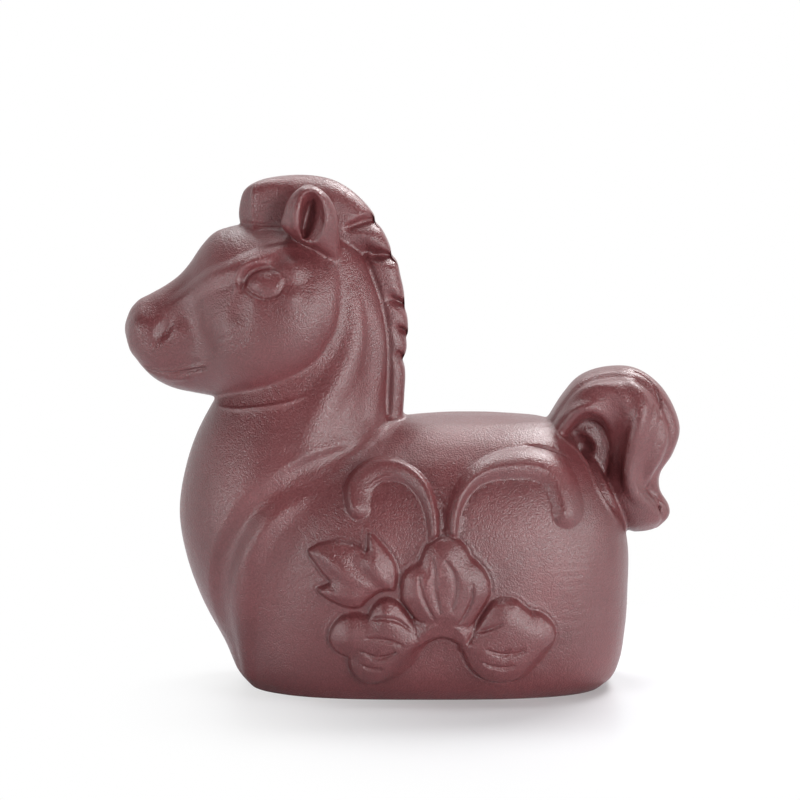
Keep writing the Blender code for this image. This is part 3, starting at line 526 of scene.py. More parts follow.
strokes = {
    "roofEdge": [(-43.0, 67.4, 2.0, 0.1), (-39.0, 70.2, 2.6, 0.5), (-34.5, 73.6, 2.8, 0.7),
                 (-30.5, 75.4, 2.8, 0.8), (-26.0, 77.6, 2.6, 0.8), (-21.5, 79.0, 2.4, 0.6),
                 (-18.0, 79.8, 2.0, 0.1)],
    "upperLid": [(-29.6, 72.6, 0.9, 0.1), (-29.0, 74.2, 1.1, 0.4), (-27.6, 75.9, 1.2, 0.45),
                 (-25.6, 77.0, 1.2, 0.3), (-23.2, 77.5, 1.2, 0.05)],
    "browSpot": [(-19.4, 76.2, 3.8, 1.0)],
    "cheekSpot": [(-19.8, 71.2, 2.4, 0.4)],
    "innerCorner": [(-28.4, 70.4, 2.4, -0.3), (-28.7, 68.4, 3.0, -0.3), (-29.0, 66.0, 3.0, -0.05)],
    "noseBridge": [(-33.8, 69.4, 4.6, 0.3), (-32.6, 65.8, 5.0, 0.45), (-31.6, 62.0, 4.4, 0.2)],
    "nostril": [(-41.5, 66.5, 1.4, -0.2), (-42.0, 65.3, 1.7, -0.7), (-42.8, 64.0, 1.7, -0.75),
                (-43.7, 62.8, 1.4, -0.2)],
    "noseTip": [(-46.6, 65.6, 4.0, 0.5)],
    "nostrilWing": [(-39.4, 63.8, 3.2, 0.4)],
    "muzzleValley": [(-36.9, 66.6, 3.0, -0.05), (-36.0, 64.0, 3.6, -0.15), (-35.0, 61.6, 3.6, -0.2),
                     (-34.2, 59.8, 3.0, -0.1)],
    "lowerLip": [(-42.0, 55.7, 0.9, 0.1), (-39.4, 55.9, 1.0, 0.25), (-36.6, 56.8, 0.9, 0.1)],
    "neckRidge": [(-9.0, 71.4, 1.8, 0.2), (-8.2, 67.4, 2.4, 0.4), (-8.5, 63.6, 2.8, 0.6),
                  (-9.4, 60.0, 3.2, 0.8), (-11.2, 56.4, 3.8, 0.9), (-13.4, 53.0, 4.2, 0.9),
                  (-15.6, 49.6, 4.4, 0.7), (-17.2, 46.0, 4.0, 0.3)],
    "neckValley": [(-6.4, 68.0, 2.0, -0.2), (-5.4, 62.9, 2.8, -0.45), (-5.6, 58.5, 3.0, -0.5),
                   (-6.2, 54.1, 3.2, -0.45), (-7.4, 49.7, 3.2, -0.35), (-9.0, 46.3, 2.8, -0.1)],
    "shoulderValley": [(-6.0, 45.4, 2.6, -0.2), (-13.0, 41.6, 3.4, -0.5), (-19.6, 38.6, 3.8, -0.7),
                       (-25.4, 34.4, 4.0, -0.9), (-29.2, 29.6, 3.8, -0.9), (-31.4, 25.1, 3.6, -0.9),
                       (-32.4, 20.6, 3.4, -0.8), (-32.6, 16.6, 3.2, -0.6), (-32.0, 12.0, 2.8, -0.2)],
    "shoulder": [(-19.6, 35.4, 3.0, 0.2), (-22.4, 33.8, 3.4, 0.7), (-24.6, 31.2, 3.6, 0.9),
                 (-26.4, 28.0, 3.6, 0.8), (-27.8, 23.0, 3.6, 0.6), (-28.4, 17.0, 3.4, 0.6),
                 (-28.4, 10.0, 3.2, 0.6), (-28.0, 3.0, 2.6, 0.4)],
    "rumpRoll": [(29.6, 29.0, 6.0, 0.1), (29.6, 22.0, 6.5, 0.5), (29.4, 10.0, 6.0, 0.4)],
    "tailHole": [(30.6, 45.6, 1.6, -0.5), (31.6, 44.2, 2.2, -2.0), (32.8, 42.2, 2.6, -2.8),
                 (34.2, 39.6, 2.6, -2.6), (35.6, 36.8, 2.4, -1.8), (37.2, 33.8, 2.0, -0.9),
                 (38.6, 31.4, 1.6, -0.2)],
    "tailInnerValley": [(31.0, 46.4, 1.4, -0.2), (32.4, 47.8, 1.6, -0.5), (34.4, 47.2, 1.6, -0.5),
                        (35.4, 45.0, 1.5, -0.2)],
    "tailRidge": [(28.8, 47.6, 1.2, 0.1), (30.2, 49.8, 1.4, 0.3), (32.2, 50.8, 1.5, 0.35),
                  (34.4, 50.2, 1.5, 0.35), (36.0, 48.6, 1.5, 0.3), (36.8, 45.6, 1.4, 0.1)],
    "tailValley": [(28.4, 50.4, 1.8, -0.2), (30.6, 52.6, 2.4, -0.6), (33.2, 53.3, 2.6, -0.7),
                   (36.0, 52.4, 2.8, -0.7), (37.8, 50.0, 2.8, -0.7), (38.2, 46.4, 2.6, -0.6),
                   (37.9, 42.0, 2.4, -0.5), (38.0, 37.0, 2.2, -0.3)],
    "tailStrand": [(38.6, 56.4, 1.8, 0.1), (41.0, 54.6, 2.2, 0.5), (42.2, 51.6, 2.3, 0.8),
                   (41.8, 48.4, 2.3, 0.9), (40.8, 45.2, 2.2, 0.9), (40.2, 42.0, 2.0, 0.8),
                   (39.9, 39.0, 2.0, 0.8), (40.5, 36.4, 1.9, 0.7), (42.2, 34.2, 1.7, 0.5),
                   (44.6, 32.7, 1.4, 0.1)],
    "tailStrandValley": [(45.4, 47.8, 1.6, -0.2), (44.8, 45.1, 2.0, -0.6), (43.8, 42.5, 2.2, -0.8),
                         (43.0, 40.1, 2.2, -0.9), (42.9, 38.0, 2.0, -0.9), (43.8, 36.2, 1.8, -0.7),
                         (45.4, 34.6, 1.4, -0.4), (46.8, 33.4, 1.0, -0.1)],
    "tailGroove": [(39.6, 57.3, 0.6, -0.1), (41.9, 56.7, 0.7, -0.4), (43.7, 55.6, 0.7, -0.5),
                   (44.8, 54.2, 0.7, -0.5), (45.5, 52.3, 0.7, -0.5), (45.7, 50.4, 0.7, -0.4),
                   (45.3, 48.6, 0.6, -0.1)],
}
fineStrokes = {
    "lowerLidLine": [(-27.2, 72.2, 0.5, -0.1), (-25.6, 71.3, 0.55, -0.3), (-23.8, 71.1, 0.55, -0.35),
                     (-22.0, 71.7, 0.5, -0.25), (-20.8, 72.9, 0.5, -0.1)],
    "eyeCrease": [(-28.4, 72.0, 0.6, -0.2), (-28.0, 73.4, 0.7, -0.4), (-27.1, 75.0, 0.7, -0.4),
                  (-25.3, 76.1, 0.7, -0.3), (-23.4, 76.3, 0.6, -0.1)],
    "jawLine": [(-17.0, 53.6, 0.5, 0.05), (-20.3, 52.5, 0.6, 0.25), (-25.1, 51.5, 0.6, 0.3),
                (-29.6, 50.9, 0.6, 0.3), (-33.0, 50.9, 0.5, 0.1)],
    "maneGroove": [(-9.2, 79.6, 0.8, -0.2), (-6.6, 76.8, 0.9, -0.4), (-4.8, 72.2, 0.9, -0.45),
                   (-3.7, 68.4, 0.9, -0.45), (-3.0, 64.6, 0.9, -0.45), (-2.7, 60.0, 0.9, -0.45),
                   (-2.7, 55.0, 0.9, -0.45), (-2.9, 48.8, 0.8, -0.3)],
    "foreEdge": [(-26.8, 83.8, 0.7, 0.1), (-26.8, 86.0, 0.8, 0.3), (-26.7, 88.4, 0.8, 0.3),
                 (-26.4, 90.2, 0.7, 0.1)],
    "foreBottom": [(-28.6, 83.4, 0.6, -0.2), (-26.2, 83.2, 0.6, -0.3), (-24.0, 83.1, 0.6, -0.3),
                   (-22.0, 83.0, 0.5, -0.1)],
    "earLobe": [(-18.9, 83.2, 1.0, 0.3), (-18.9, 85.4, 1.2, 0.6), (-18.2, 87.6, 1.0, 0.4)],
    "rumpEdge": [(26.0, 47.6, 0.6, 0.1), (28.3, 45.3, 0.7, 0.3), (30.4, 43.6, 0.7, 0.35),
                 (31.9, 41.7, 0.7, 0.4), (33.1, 39.3, 0.7, 0.4), (34.1, 37.0, 0.7, 0.4),
                 (35.7, 34.2, 0.7, 0.35), (37.6, 31.2, 0.7, 0.1)],
    "curlLine": [(-6.4, 38.0, 0.4, 0.1), (-5.2, 39.2, 0.45, 0.25), (-3.4, 40.0, 0.45, 0.25),
                 (-1.8, 40.2, 0.45, 0.1)],
    "crestGroove": [(21.6, 44.9, 0.5, -0.1), (24.2, 44.6, 0.5, -0.35), (26.6, 43.8, 0.5, -0.4),
                    (29.0, 42.6, 0.5, -0.1)],
}
nearStrokes = {"pinHole": [(46.0, 32.2, 0.55, -1.3)]}
eye = {
    "place": (-24.3, 73.8),
    "ballHalf": (3.3, 2.05),
    "ballHeight": 1.15,
    "ballRoundness": 0.6,
    "ballTilt": 6.0,
    "bowlPlace": (-25.6, 74.1),
    "bowlHalf": (4.3, 3.1),
    "bowlDepth": 0.55,
    "bowlSteepness": 1.3,
}
strokeFeel = {
    "softPower": 2.0,
    "stepShare": 0.3,
    "leastStep": 0.25,
    "castFrom": -80.0,  # tracks are thrown onto the skin from this far to the near side
    "onTrack": 0.01,  # nearer than this, a point lies on neither side of its track
}

# Bands with a cross-section of their own: track of (x, z, half width), section of (place across, height);
# the place runs from -1, right of the track's direction, to 1, left of it; a band fades out over its ends
bands = {
    "mouth": {
        "track": [(-47.4, 57.8, 0.7), (-46.1, 57.4, 1.0), (-44.2, 57.0, 1.2), (-42.2, 56.9, 1.2),
                  (-40.2, 57.0, 1.2), (-38.2, 57.4, 1.1), (-36.1, 57.9, 1.0), (-34.2, 58.3, 0.7)],
        "section": [(-1.0, 0.0), (-0.5, -0.15), (0.0, -0.6), (0.4, 0.25), (1.0, 0.0)],
        "fade": 2.0,
    },
    "shoulderCrest": {
        "track": [(-7.0, 44.8, 1.6), (-10.7, 44.1, 2.2), (-13.3, 43.5, 2.4), (-16.2, 42.6, 2.6),
                  (-19.1, 41.2, 2.6), (-22.4, 38.6, 2.2)],
        "section": [(-1.0, 0.0), (-0.4, 0.1), (0.1, -0.2), (0.5, -0.2), (1.0, 0.0)],
        "fade": 4.0,
    },
}

# Grooves between the locks of the mane, from the rear edge inwards; the lower side is a slope that faces up
locks = {
    "plateReach": 0.4,  # how far outside the plate's face its skin may stand
    "leastFacing": 0.2,
    "fade": 2.0,
    "section": [(-1.0, 0.0), (-0.7, -0.05), (-0.1, -1.2), (0.08, -1.25), (0.5, -0.5), (1.0, 0.0)],
    "tracks": [
        [(-3.6, 84.3, 2.4), (-5.6, 84.0, 2.3), (-7.6, 83.5, 1.9), (-9.4, 82.9, 1.4), (-11.0, 82.4, 0.8)],
        [(-0.6, 77.3, 2.1), (-2.4, 77.4, 1.9), (-4.6, 77.5, 1.3), (-6.8, 77.5, 0.7)],
        [(1.2, 68.5, 1.9), (0.0, 69.2, 1.6), (-1.4, 69.7, 1.0), (-2.6, 70.1, 0.5)],
        [(1.8, 62.9, 1.3), (0.7, 63.8, 1.1), (-0.6, 64.7, 0.7), (-1.4, 65.2, 0.4)],
        [(1.2, 58.5, 1.2), (0.1, 59.4, 1.0), (-0.8, 60.3, 0.6), (-1.5, 60.8, 0.4)],
    ],
}


def layTrack(tree, track, step):
    laid = []
    for row in smoothRun(track, step):
        start = Vector((row[0], strokeFeel["castFrom"], row[1])) * mm
        place = tree.ray_cast(start, Vector((0.0, 1.0, 0.0)))[0]
        if place is not None:
            laid.append((*(place / mm), *row[2:]))
    return np.array(laid)


def acrossSection(section, offset, ahead, ratio):
    # height of a cross-section beside a track, blended round the track's ends
    left = ahead[:, 0] * offset[:, 1] - ahead[:, 1] * offset[:, 0]
    gap = np.maximum(np.linalg.norm(offset, axis=1), strokeFeel["onTrack"])
    share = 0.5 + 0.5 * np.clip(left / gap, -1.0, 1.0)
    return share * readCurve(section, ratio)[:, 0] + (1 - share) * readCurve(section, -ratio)[:, 0]


def ribbonRise(view, track, section, fadeIn=0.0):
    # height of a band drawn in the side view, with a round end
    laid = smoothRun(track, strokeFeel["leastStep"])
    ahead = np.gradient(laid[:, :2], axis=0)
    ahead /= np.linalg.norm(ahead, axis=1)[:, None]
    reach = laid[:, 2].max()
    inBox = (view > laid[:, :2].min(axis=0) - reach) & (view < laid[:, :2].max(axis=0) + reach)
    near = np.flatnonzero(np.all(inBox, axis=1))
    gap = np.linalg.norm(view[near, None, :] - laid[None, :, :2], axis=2)
    closest = (gap / laid[:, 2]).argmin(axis=1)
    gap = gap[np.arange(len(near)), closest]
    ratio = np.clip(gap / laid[closest, 2], 0.0, 1.0)
    rise = np.zeros(len(view))
    rise[near] = acrossSection(section, view[near] - laid[closest, :2], ahead[closest], ratio)
    if fadeIn:
        rise[near] *= ease((len(laid) - 1 - closest) * strokeFeel["leastStep"] / fadeIn)
    return rise


def skinTree(thing):
    bpy.context.view_layer.update()
    return BVHTree.FromObject(thing, bpy.context.evaluated_depsgraph_get())


def nearTrack(folded, laid):
    # skin points within reach of a track, with the closest place on the track and the distance to it
    reach = laid[:, 3].max()
    inBox = (folded > laid[:, :3].min(axis=0) - reach) & (folded < laid[:, :3].max(axis=0) + reach)
    near = np.flatnonzero(np.all(inBox, axis=1))
    closest = np.zeros(len(near), int)
    gap = np.full(len(near), np.inf)
    for index, row in enumerate(laid):
        here = np.linalg.norm(folded[near] - row[:3], axis=1)
        closer = here < gap
        gap[closer] = here[closer]
        closest[closer] = index
    return near, closest, gap


def foldedPoints(points):
    # both sides laid on the near one
    return points * (1, 0, 1) - np.abs(points) * (0, 1, 0)


def pressStrokes(thing, tracks, bothSides=True):
    points = pointsOf(thing)
    tree = skinTree(thing)
    folded = foldedPoints(points) if bothSides else points
    rise = np.zeros(len(points))
    for track in tracks:
        step = max(strokeFeel["leastStep"], min(row[2] for row in track) * strokeFeel["stepShare"])
        laid = layTrack(tree, track, step)
        if len(laid) == 0:
            continue
        near, closest, gap = nearTrack(folded, laid)
        ratio = np.clip(gap / laid[closest, 3], 0.0, 1.0)
        rise[near] += laid[closest, 4] * (1 - ratio**2) ** strokeFeel["softPower"]
    setPoints(thing, points + normalsOf(thing) * rise[:, None])


def layBands(thing, chosen):
    points = pointsOf(thing)
    tree = skinTree(thing)
    folded = foldedPoints(points)
    rise = np.zeros(len(points))
    for band in chosen:
        laid = layTrack(tree, band["track"], strokeFeel["leastStep"])
        near, closest, gap = nearTrack(folded, laid)
        ahead = np.gradient(laid[:, [0, 2]], axis=0)
        ahead /= np.linalg.norm(ahead, axis=1)[:, None]
        offset = (folded[near] - laid[closest, :3])[:, [0, 2]]
        ratio = np.clip(gap / laid[closest, 3], 0.0, 1.0)
        fromEnd = np.minimum(closest, len(laid) - 1 - closest) * strokeFeel["leastStep"]
        height = acrossSection(band["section"], offset, ahead[closest], ratio)
        rise[near] += height * ease(fromEnd / band["fade"])
    setPoints(thing, points + normalsOf(thing) * rise[:, None])


def cutLocks(thing):
    points = pointsOf(thing)
    normals = normalsOf(thing)
    onPlate = np.abs(points[:, 1]) < mane["halfThickness"] + locks["plateReach"]
    near = np.flatnonzero(onPlate & (np.abs(normals[:, 1]) > locks["leastFacing"]))
    rise = np.zeros(len(near))
    for track in locks["tracks"]:
        rise += ribbonRise(points[near][:, [0, 2]], track, locks["section"], locks["fade"])
    points[near, 1] += np.sign(points[near, 1]) * rise
    setPoints(thing, points)


def ovalShare(points, place, half, tilt=0.0):
    # 1 in the middle of an oval and 0 from its edge on
    offset = points[:, [0, 2]] - place
    turn = math.radians(tilt)
    along = offset[:, 0] * math.cos(turn) + offset[:, 1] * math.sin(turn)
    across = offset[:, 1] * math.cos(turn) - offset[:, 0] * math.sin(turn)
    return np.clip(1 - (along / half[0]) ** 2 - (across / half[1]) ** 2, 0.0, 1.0)


def shapeEye(thing):
    # a domed ball that stands at the rear of a shallow bowl
    points = pointsOf(thing)
    normals = normalsOf(thing)
    ball = ovalShare(points, eye["place"], eye["ballHalf"], eye["ballTilt"])
    bowl = ovalShare(points, eye["bowlPlace"], eye["bowlHalf"])
    rise = eye["ballHeight"] * ball ** eye["ballRoundness"]
    rise -= eye["bowlDepth"] * ease(bowl * eye["bowlSteepness"])
    rise *= np.abs(normals[:, 1]) > relief["facing"]
    setPoints(thing, points + normals * rise[:, None])


# Relief on the flanks: flower and leaf as pillows inside outlines of (x, z, width of the edge where it
# isn't the usual one)

flower = {
    "height": 2.8,
    "edge": 0.8,
    "wallShare": 0.4,
    "crownWidth": 4.2,
    "topPetal": [
        [(4.4, 13.0, 3.0), (2.3, 15.0, 1.0), (0.5, 17.3), (-0.7, 19.2), (-0.7, 21.8), (-0.2, 23.8),
         (0.9, 24.9), (2.4, 25.6)],
        [(2.4, 25.6), (2.9, 27.2), (4.0, 29.0), (5.8, 30.2), (7.6, 30.4), (9.4, 29.9),
         (11.0, 28.3), (11.9, 26.6), (12.9, 25.8)],
        [(12.9, 25.8), (14.2, 24.3), (15.1, 22.3), (15.2, 20.0), (14.2, 18.0), (13.0, 16.0),
         (12.0, 14.4, 1.0), (10.2, 12.4, 3.0), (9.0, 11.0, 1.4)],
        [(9.0, 11.0, 1.4), (7.8, 11.7, 1.2), (6.2, 11.9, 1.1), (4.4, 11.2, 1.4)],
    ],
    "leftPetal": [
        [(-6.4, 16.4), (-5.6, 18.1), (-4.2, 19.3), (-2.7, 19.6), (-1.1, 19.0), (0.3, 17.5),
         (2.0, 15.3, 1.0), (3.6, 13.8, 2.0), (6.0, 13.0, 3.0)],
        [(4.8, 11.5, 1.6), (3.4, 10.2, 2.2), (2.5, 8.2, 4.0), (1.0, 6.5, 4.0), (-0.9, 4.9, 3.4),
         (-2.7, 4.0, 2.4), (-4.3, 3.5, 1.6), (-6.0, 3.4, 1.2), (-7.7, 4.1, 0.9), (-9.0, 5.4), (-9.7, 6.9),
         (-9.9, 8.5)],
        [(-9.9, 8.5), (-11.4, 9.1), (-12.6, 10.2), (-13.2, 11.8), (-12.9, 13.7),
         (-12.0, 15.2), (-10.7, 16.3), (-9.0, 16.8), (-7.6, 16.7), (-6.4, 16.4)],
    ],
    "rightPetal": [
        [(8.0, 13.4, 3.0), (10.6, 13.2, 2.4), (12.2, 14.2, 0.9), (13.2, 16.0), (14.4, 17.8), (15.5, 19.0),
         (16.9, 19.5), (18.3, 19.5), (19.8, 19.0), (20.9, 18.0), (22.1, 17.0)],
        [(22.1, 17.0), (23.7, 16.7), (25.2, 15.7), (26.3, 14.3), (26.7, 12.8), (26.6, 11.4, 1.2),
         (26.0, 10.0, 2.0), (24.8, 8.3, 2.8), (23.2, 6.5, 2.6), (21.4, 4.8, 2.0), (19.4, 3.9, 1.4),
         (16.8, 3.7, 1.0), (14.3, 4.3), (12.3, 5.6), (10.8, 7.5), (10.1, 9.4), (9.4, 11.0, 1.0)],
    ],
    "middle": [
        [(4.4, 11.2, 1.2), (3.0, 10.0, 2.0), (0.6, 10.6, 4.0), (0.2, 14.0, 4.0), (2.6, 17.2, 4.0),
         (7.0, 18.6, 4.0), (11.4, 17.0, 4.0), (13.4, 13.4, 4.0), (12.0, 9.8, 4.0), (9.6, 9.4, 1.6),
         (9.0, 11.0, 1.2)],
        [(9.0, 11.0, 1.2), (7.8, 11.7, 1.1), (6.2, 11.9, 1.1), (4.4, 11.2, 1.2)],
    ],
    "heart": [(4.0, 13.4, 2.2, -0.2), (7.0, 14.4, 2.6, -0.45), (9.8, 13.4, 2.2, -0.2)],
    "veinDepth": 0.55,
    # (x, z, half width)
    "veins": [
        [(5.0, 26.6, 0.3), (5.3, 24.1, 0.6), (5.3, 22.0, 0.65), (5.7, 19.5, 0.6), (6.3, 17.2, 0.3)],
        [(7.2, 26.3, 0.3), (8.3, 24.8, 0.6), (8.9, 23.1, 0.65), (9.0, 20.7, 0.6), (8.4, 17.6, 0.3)],
        [(2.6, 23.4, 0.3), (3.0, 20.8, 0.6), (3.8, 18.5, 0.6), (5.2, 15.9, 0.3)],
        [(11.9, 22.2, 0.3), (11.8, 19.2, 0.55), (10.9, 17.0, 0.55), (9.9, 15.3, 0.3)],
        [(-5.5, 15.8, 0.3), (-3.2, 16.0, 0.6), (-1.0, 15.5, 0.6), (1.2, 13.8, 0.3)],
        [(-6.6, 12.3, 0.3), (-4.2, 12.2, 0.55), (-2.2, 11.8, 0.55), (-0.3, 11.1, 0.3)],
        [(-7.5, 10.0, 0.3), (-5.7, 9.1, 0.55), (-4.2, 8.9, 0.55), (-2.7, 9.2, 0.5), (-1.5, 9.8, 0.3)],
        [(-7.7, 7.5, 0.3), (-5.9, 6.8, 0.5), (-3.9, 6.8, 0.3)],
        [(13.2, 13.5, 0.3), (14.7, 14.0, 0.5), (17.0, 15.0, 0.3)],
        [(14.5, 10.2, 0.3), (16.7, 9.5, 0.5), (18.7, 9.4, 0.5), (21.0, 9.9, 0.3)],
        [(13.8, 7.8, 0.3), (15.8, 7.1, 0.5), (17.5, 6.9, 0.5), (19.2, 7.3, 0.3)],
    ],
}
leaf = {
    "height": 2.0,
    "edge": 0.8,
    "wallShare": 0.45,
    "crownWidth": 3.4,
    "outline": [
        [(-6.4, 31.1), (-5.2, 30.5), (-3.7, 29.0), (-2.2, 27.2), (-1.2, 25.4), (-0.9, 23.8),
         (-1.0, 22.1), (-1.4, 20.4)],
        [(-2.7, 20.5), (-4.2, 20.2), (-5.8, 19.0), (-7.4, 17.4)],
        [(-8.7, 17.2), (-10.4, 17.4), (-12.1, 18.1), (-13.6, 18.9), (-14.9, 19.9),
         (-15.6, 20.9)],
        [(-14.4, 21.3), (-13.0, 22.0)],
        [(-14.4, 23.4), (-15.6, 25.1), (-16.7, 26.5), (-16.9, 27.5)],
        [(-14.9, 28.7), (-13.1, 29.2), (-11.4, 29.5), (-9.6, 29.3), (-8.1, 28.9),
         (-7.1, 28.2), (-6.5, 27.9)],
        [(-6.6, 29.4)],
    ],
    "ridges": [
        [(-14.6, 27.0, 1.6, 0.1), (-11.3, 24.7, 1.9, 0.4), (-9.5, 23.2, 1.9, 0.4), (-7.2, 21.9, 1.7, 0.1)],
        [(-6.0, 28.6, 1.3, 0.1), (-5.6, 26.0, 1.7, 0.3), (-4.7, 23.9, 1.7, 0.3), (-3.6, 22.0, 1.4, 0.1)],
        [(-13.8, 20.2, 1.2, 0.1), (-10.8, 19.8, 1.6, 0.25), (-7.6, 19.8, 1.4, 0.1)],
        [(-10.0, 27.6, 1.4, -0.1), (-8.4, 25.4, 1.8, -0.4), (-6.6, 23.4, 1.6, -0.4),
         (-4.6, 21.6, 1.2, -0.1)],
    ],
}
scrolls = {
    "left": {
        "track": [(5.1, 28.6, 1.1), (5.05, 32.0, 1.15), (4.7, 34.4, 1.3), (3.9, 36.8, 1.45),
                  (2.3, 39.1, 1.6), (0.1, 40.6, 1.7), (-2.2, 41.1, 1.85), (-4.6, 40.9, 2.0),
                  (-6.6, 39.8, 2.2), (-7.9, 38.1, 2.4), (-8.2, 36.3, 2.3), (-8.0, 34.9, 2.1)],
        "section": [(-1.0, 0.0), (-0.72, 0.95), (-0.42, 1.7), (-0.1, 1.75), (0.4, 1.25), (0.75, 0.65),
                    (1.0, 0.0)],
    },
    "right": {
        "track": [(8.3, 28.6, 1.1), (8.35, 32.0, 1.15), (8.7, 34.6, 1.35), (9.7, 37.1, 1.5),
                  (11.4, 39.3, 1.7), (13.5, 40.8, 1.9), (15.9, 41.7, 2.2), (18.4, 42.1, 2.5),
                  (20.8, 42.2, 2.6), (23.3, 41.8, 2.6), (25.5, 40.9, 2.7), (27.0, 39.3, 2.8),
                  (28.0, 37.3, 2.9), (28.5, 35.2, 2.9), (28.6, 33.9, 2.9)],
        "section": [(-1.0, 0.0), (-0.72, 0.95), (-0.45, 1.6), (-0.1, 1.65), (0.4, 1.1), (0.75, 0.5),
                    (1.0, 0.0)],
    },
}
relief = {
    "facing": 0.35,  # the relief fades where the skin turns away from the side
    "leastOut": 10.0,  # and stays off the skin nearer than this to the middle plane
    "behindPetal": 0.5,  # how far a scroll sinks where the top petal lies over its root
    "coverWidth": 0.7,
    # a faint lip of clay outside the crisp edges
    "lipHeight": 0.12,
    "lipOut": 0.5,
    "lipWidth": 0.3,
    "crispWidth": 1.0,
    "crispPower": 4,
}


def pillowRise(view, outline, look):
    depth, edge = edgedDepth(view, outlineOf(outline, look["edge"]))
    wall = ease(depth / edge)
    crown = np.sin(np.clip(depth / np.maximum(look["crownWidth"], edge), 0.0, 1.0) * np.pi / 2)
    rise = look["height"] * (look["wallShare"] * wall + (1 - look["wallShare"]) * crown)
    crisp = np.clip(relief["crispWidth"] / edge, 0.0, 1.0) ** relief["crispPower"]
    lip = relief["lipHeight"] * crisp * np.exp(-((depth + relief["lipOut"]) / relief["lipWidth"]) ** 2)
    return np.where(depth > 0, rise, lip)


def raiseRelief(thing):
    points = pointsOf(thing)
    normals = normalsOf(thing)
    turned = np.abs(normals[:, 1])
    near = np.flatnonzero((turned > relief["facing"] / 2) & (np.abs(points[:, 1]) > relief["leastOut"]))
    view = points[near][:, [0, 2]]
    height = pillowRise(view, leaf["outline"], leaf)
    for petal in ("topPetal", "leftPetal", "rightPetal", "middle"):
        height = np.maximum(height, pillowRise(view, flower[petal], flower))
    inPetal = edgedDepth(view, outlineOf(flower["topPetal"], flower["edge"]))[0]
    sunk = relief["behindPetal"] * ease(inPetal / relief["coverWidth"] + 0.5)
    for scroll in scrolls.values():
        height = np.maximum(height, ribbonRise(view, scroll["track"], scroll["section"]) * (1 - sunk))
    rise = np.zeros(len(points))
    rise[near] = height * ease(turned[near] / relief["facing"] - 0.5)
    setPoints(thing, points + normals * rise[:, None])


# Underside: flat base, hollow and firing vent

underside = {
    "wall": 5.0,
    "floor": 4.0,
    "ventDiameter": 12.0,
    "ventX": 4.0,
    "ventLength": 16.0,  # from below the base into the hollow
    "neckHollowTop": 66.0,
    "hollowVoxel": 1.6,
    "hollowRounds": 10,
}


def flattenBase(thing):
    bm = bmesh.new()
    bm.from_mesh(thing.data)
    everything = bm.verts[:] + bm.edges[:] + bm.faces[:]
    cut = bmesh.ops.bisect_plane(bm, geom=everything, plane_co=(0, 0, 0), plane_no=(0, 0, 1),
                                 clear_inner=True)
    rim = [edge for edge in cut["geom_cut"] if isinstance(edge, bmesh.types.BMEdge)]
    bmesh.ops.triangle_fill(bm, edges=rim, use_dissolve=True)
    bmesh.ops.recalc_face_normals(bm, faces=bm.faces)
    bm.to_mesh(thing.data)
    bm.free()


def innerLevels(levels, top, count=24):
    # the levels of a column set in by the wall, at the sides and at the top
    wall = underside["wall"]
    heights = np.linspace(underside["floor"], top, count)
    here = readCurve(levels, heights)
    above = readCurve(levels, np.minimum(heights + wall, levels[-1][0]))
    rear = np.minimum(here[:, 0] - wall, above[:, 0])
    front = np.maximum(here[:, 1] + wall, above[:, 1])
    halfWidth = np.minimum(here[:, 2] - wall, above[:, 2])
    return [tuple(row) for row in np.column_stack([heights, rear, front, halfWidth, here[:, 3]])]


def hollowOut(thing):
    torsoTop = body["torso"][-1][0] - underside["wall"]
    bodyHollow = levelColumn("bodyHollow", innerLevels(body["torso"], torsoTop))
    neckHollow = levelColumn("neckHollow", innerLevels(body["neck"], underside["neckHollowTop"]))
    hollow = fuseMasses("hollow", [bodyHollow, neckHollow], underside["hollowVoxel"])
    softenSkin(hollow, np.ones(len(hollow.data.vertices)), underside["hollowRounds"])
    cutAway(thing, hollow)
    radius = underside["ventDiameter"] / 2 * mm
    bm = bmesh.new()
    bmesh.ops.create_cone(bm, cap_ends=True, segments=64, radius1=radius, radius2=radius,
                          depth=underside["ventLength"] * mm)
    mesh = bpy.data.meshes.new("vent")
    bm.to_mesh(mesh)
    bm.free()
    mesh.transform(Matrix.Translation((underside["ventX"] * mm, 0.0, 0.0)))
    cutAway(thing, newObject("vent", mesh))


# The whole horse

def makeHorse():
    masses = [makeTrunk(), makeHead(), makeMane(), makeTail(), makeEar(-1), makeEar(1)]
    masses.append(makePlate("web", outlineOf([tail["web"]]), tail["webHalf"], tail["webEdge"]))
    print("masses made")
    horse = fuseMasses("horseSkin", masses, skinGrain["voxel"])
    keepLargestBody(horse)
    softenSkin(horse, np.ones(len(horse.data.vertices)), skinGrain["smoothRounds"])
    print("skin fused", len(horse.data.vertices))
    pressStrokes(horse, strokes.values())
    shapeEye(horse)
    layBands(horse, bands.values())
    cutLocks(horse)
    raiseRelief(horse)
    veins = [[(*row, -flower["veinDepth"]) for row in vein] for vein in flower["veins"]]
    pressStrokes(horse, veins + [flower["heart"]] + leaf["ridges"])
    pressStrokes(horse, fineStrokes.values())
    pressStrokes(horse, nearStrokes.values(), bothSides=False)
    print("skin sculpted")
    flattenBase(horse)
    thinOut(horse, skinGrain["triangles"])
    hollowOut(horse)
    print("hollow and vent cut", len(horse.data.polygons))
    return horse


def seatOnFrame(thing, node):
    # sets the figure to the size and place of its box in the frame, and gives back how far it moved
    low, high = [np.array(corner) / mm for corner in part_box(node)]
    points = pointsOf(thing)
    bottom, top = points.min(axis=0), points.max(axis=0)
    seated = low + (points - bottom) * (high - low) / (top - bottom)
    setPoints(thing, np.clip(seated, low, high))
    return low - bottom * (high - low) / (top - bottom)


# Clay

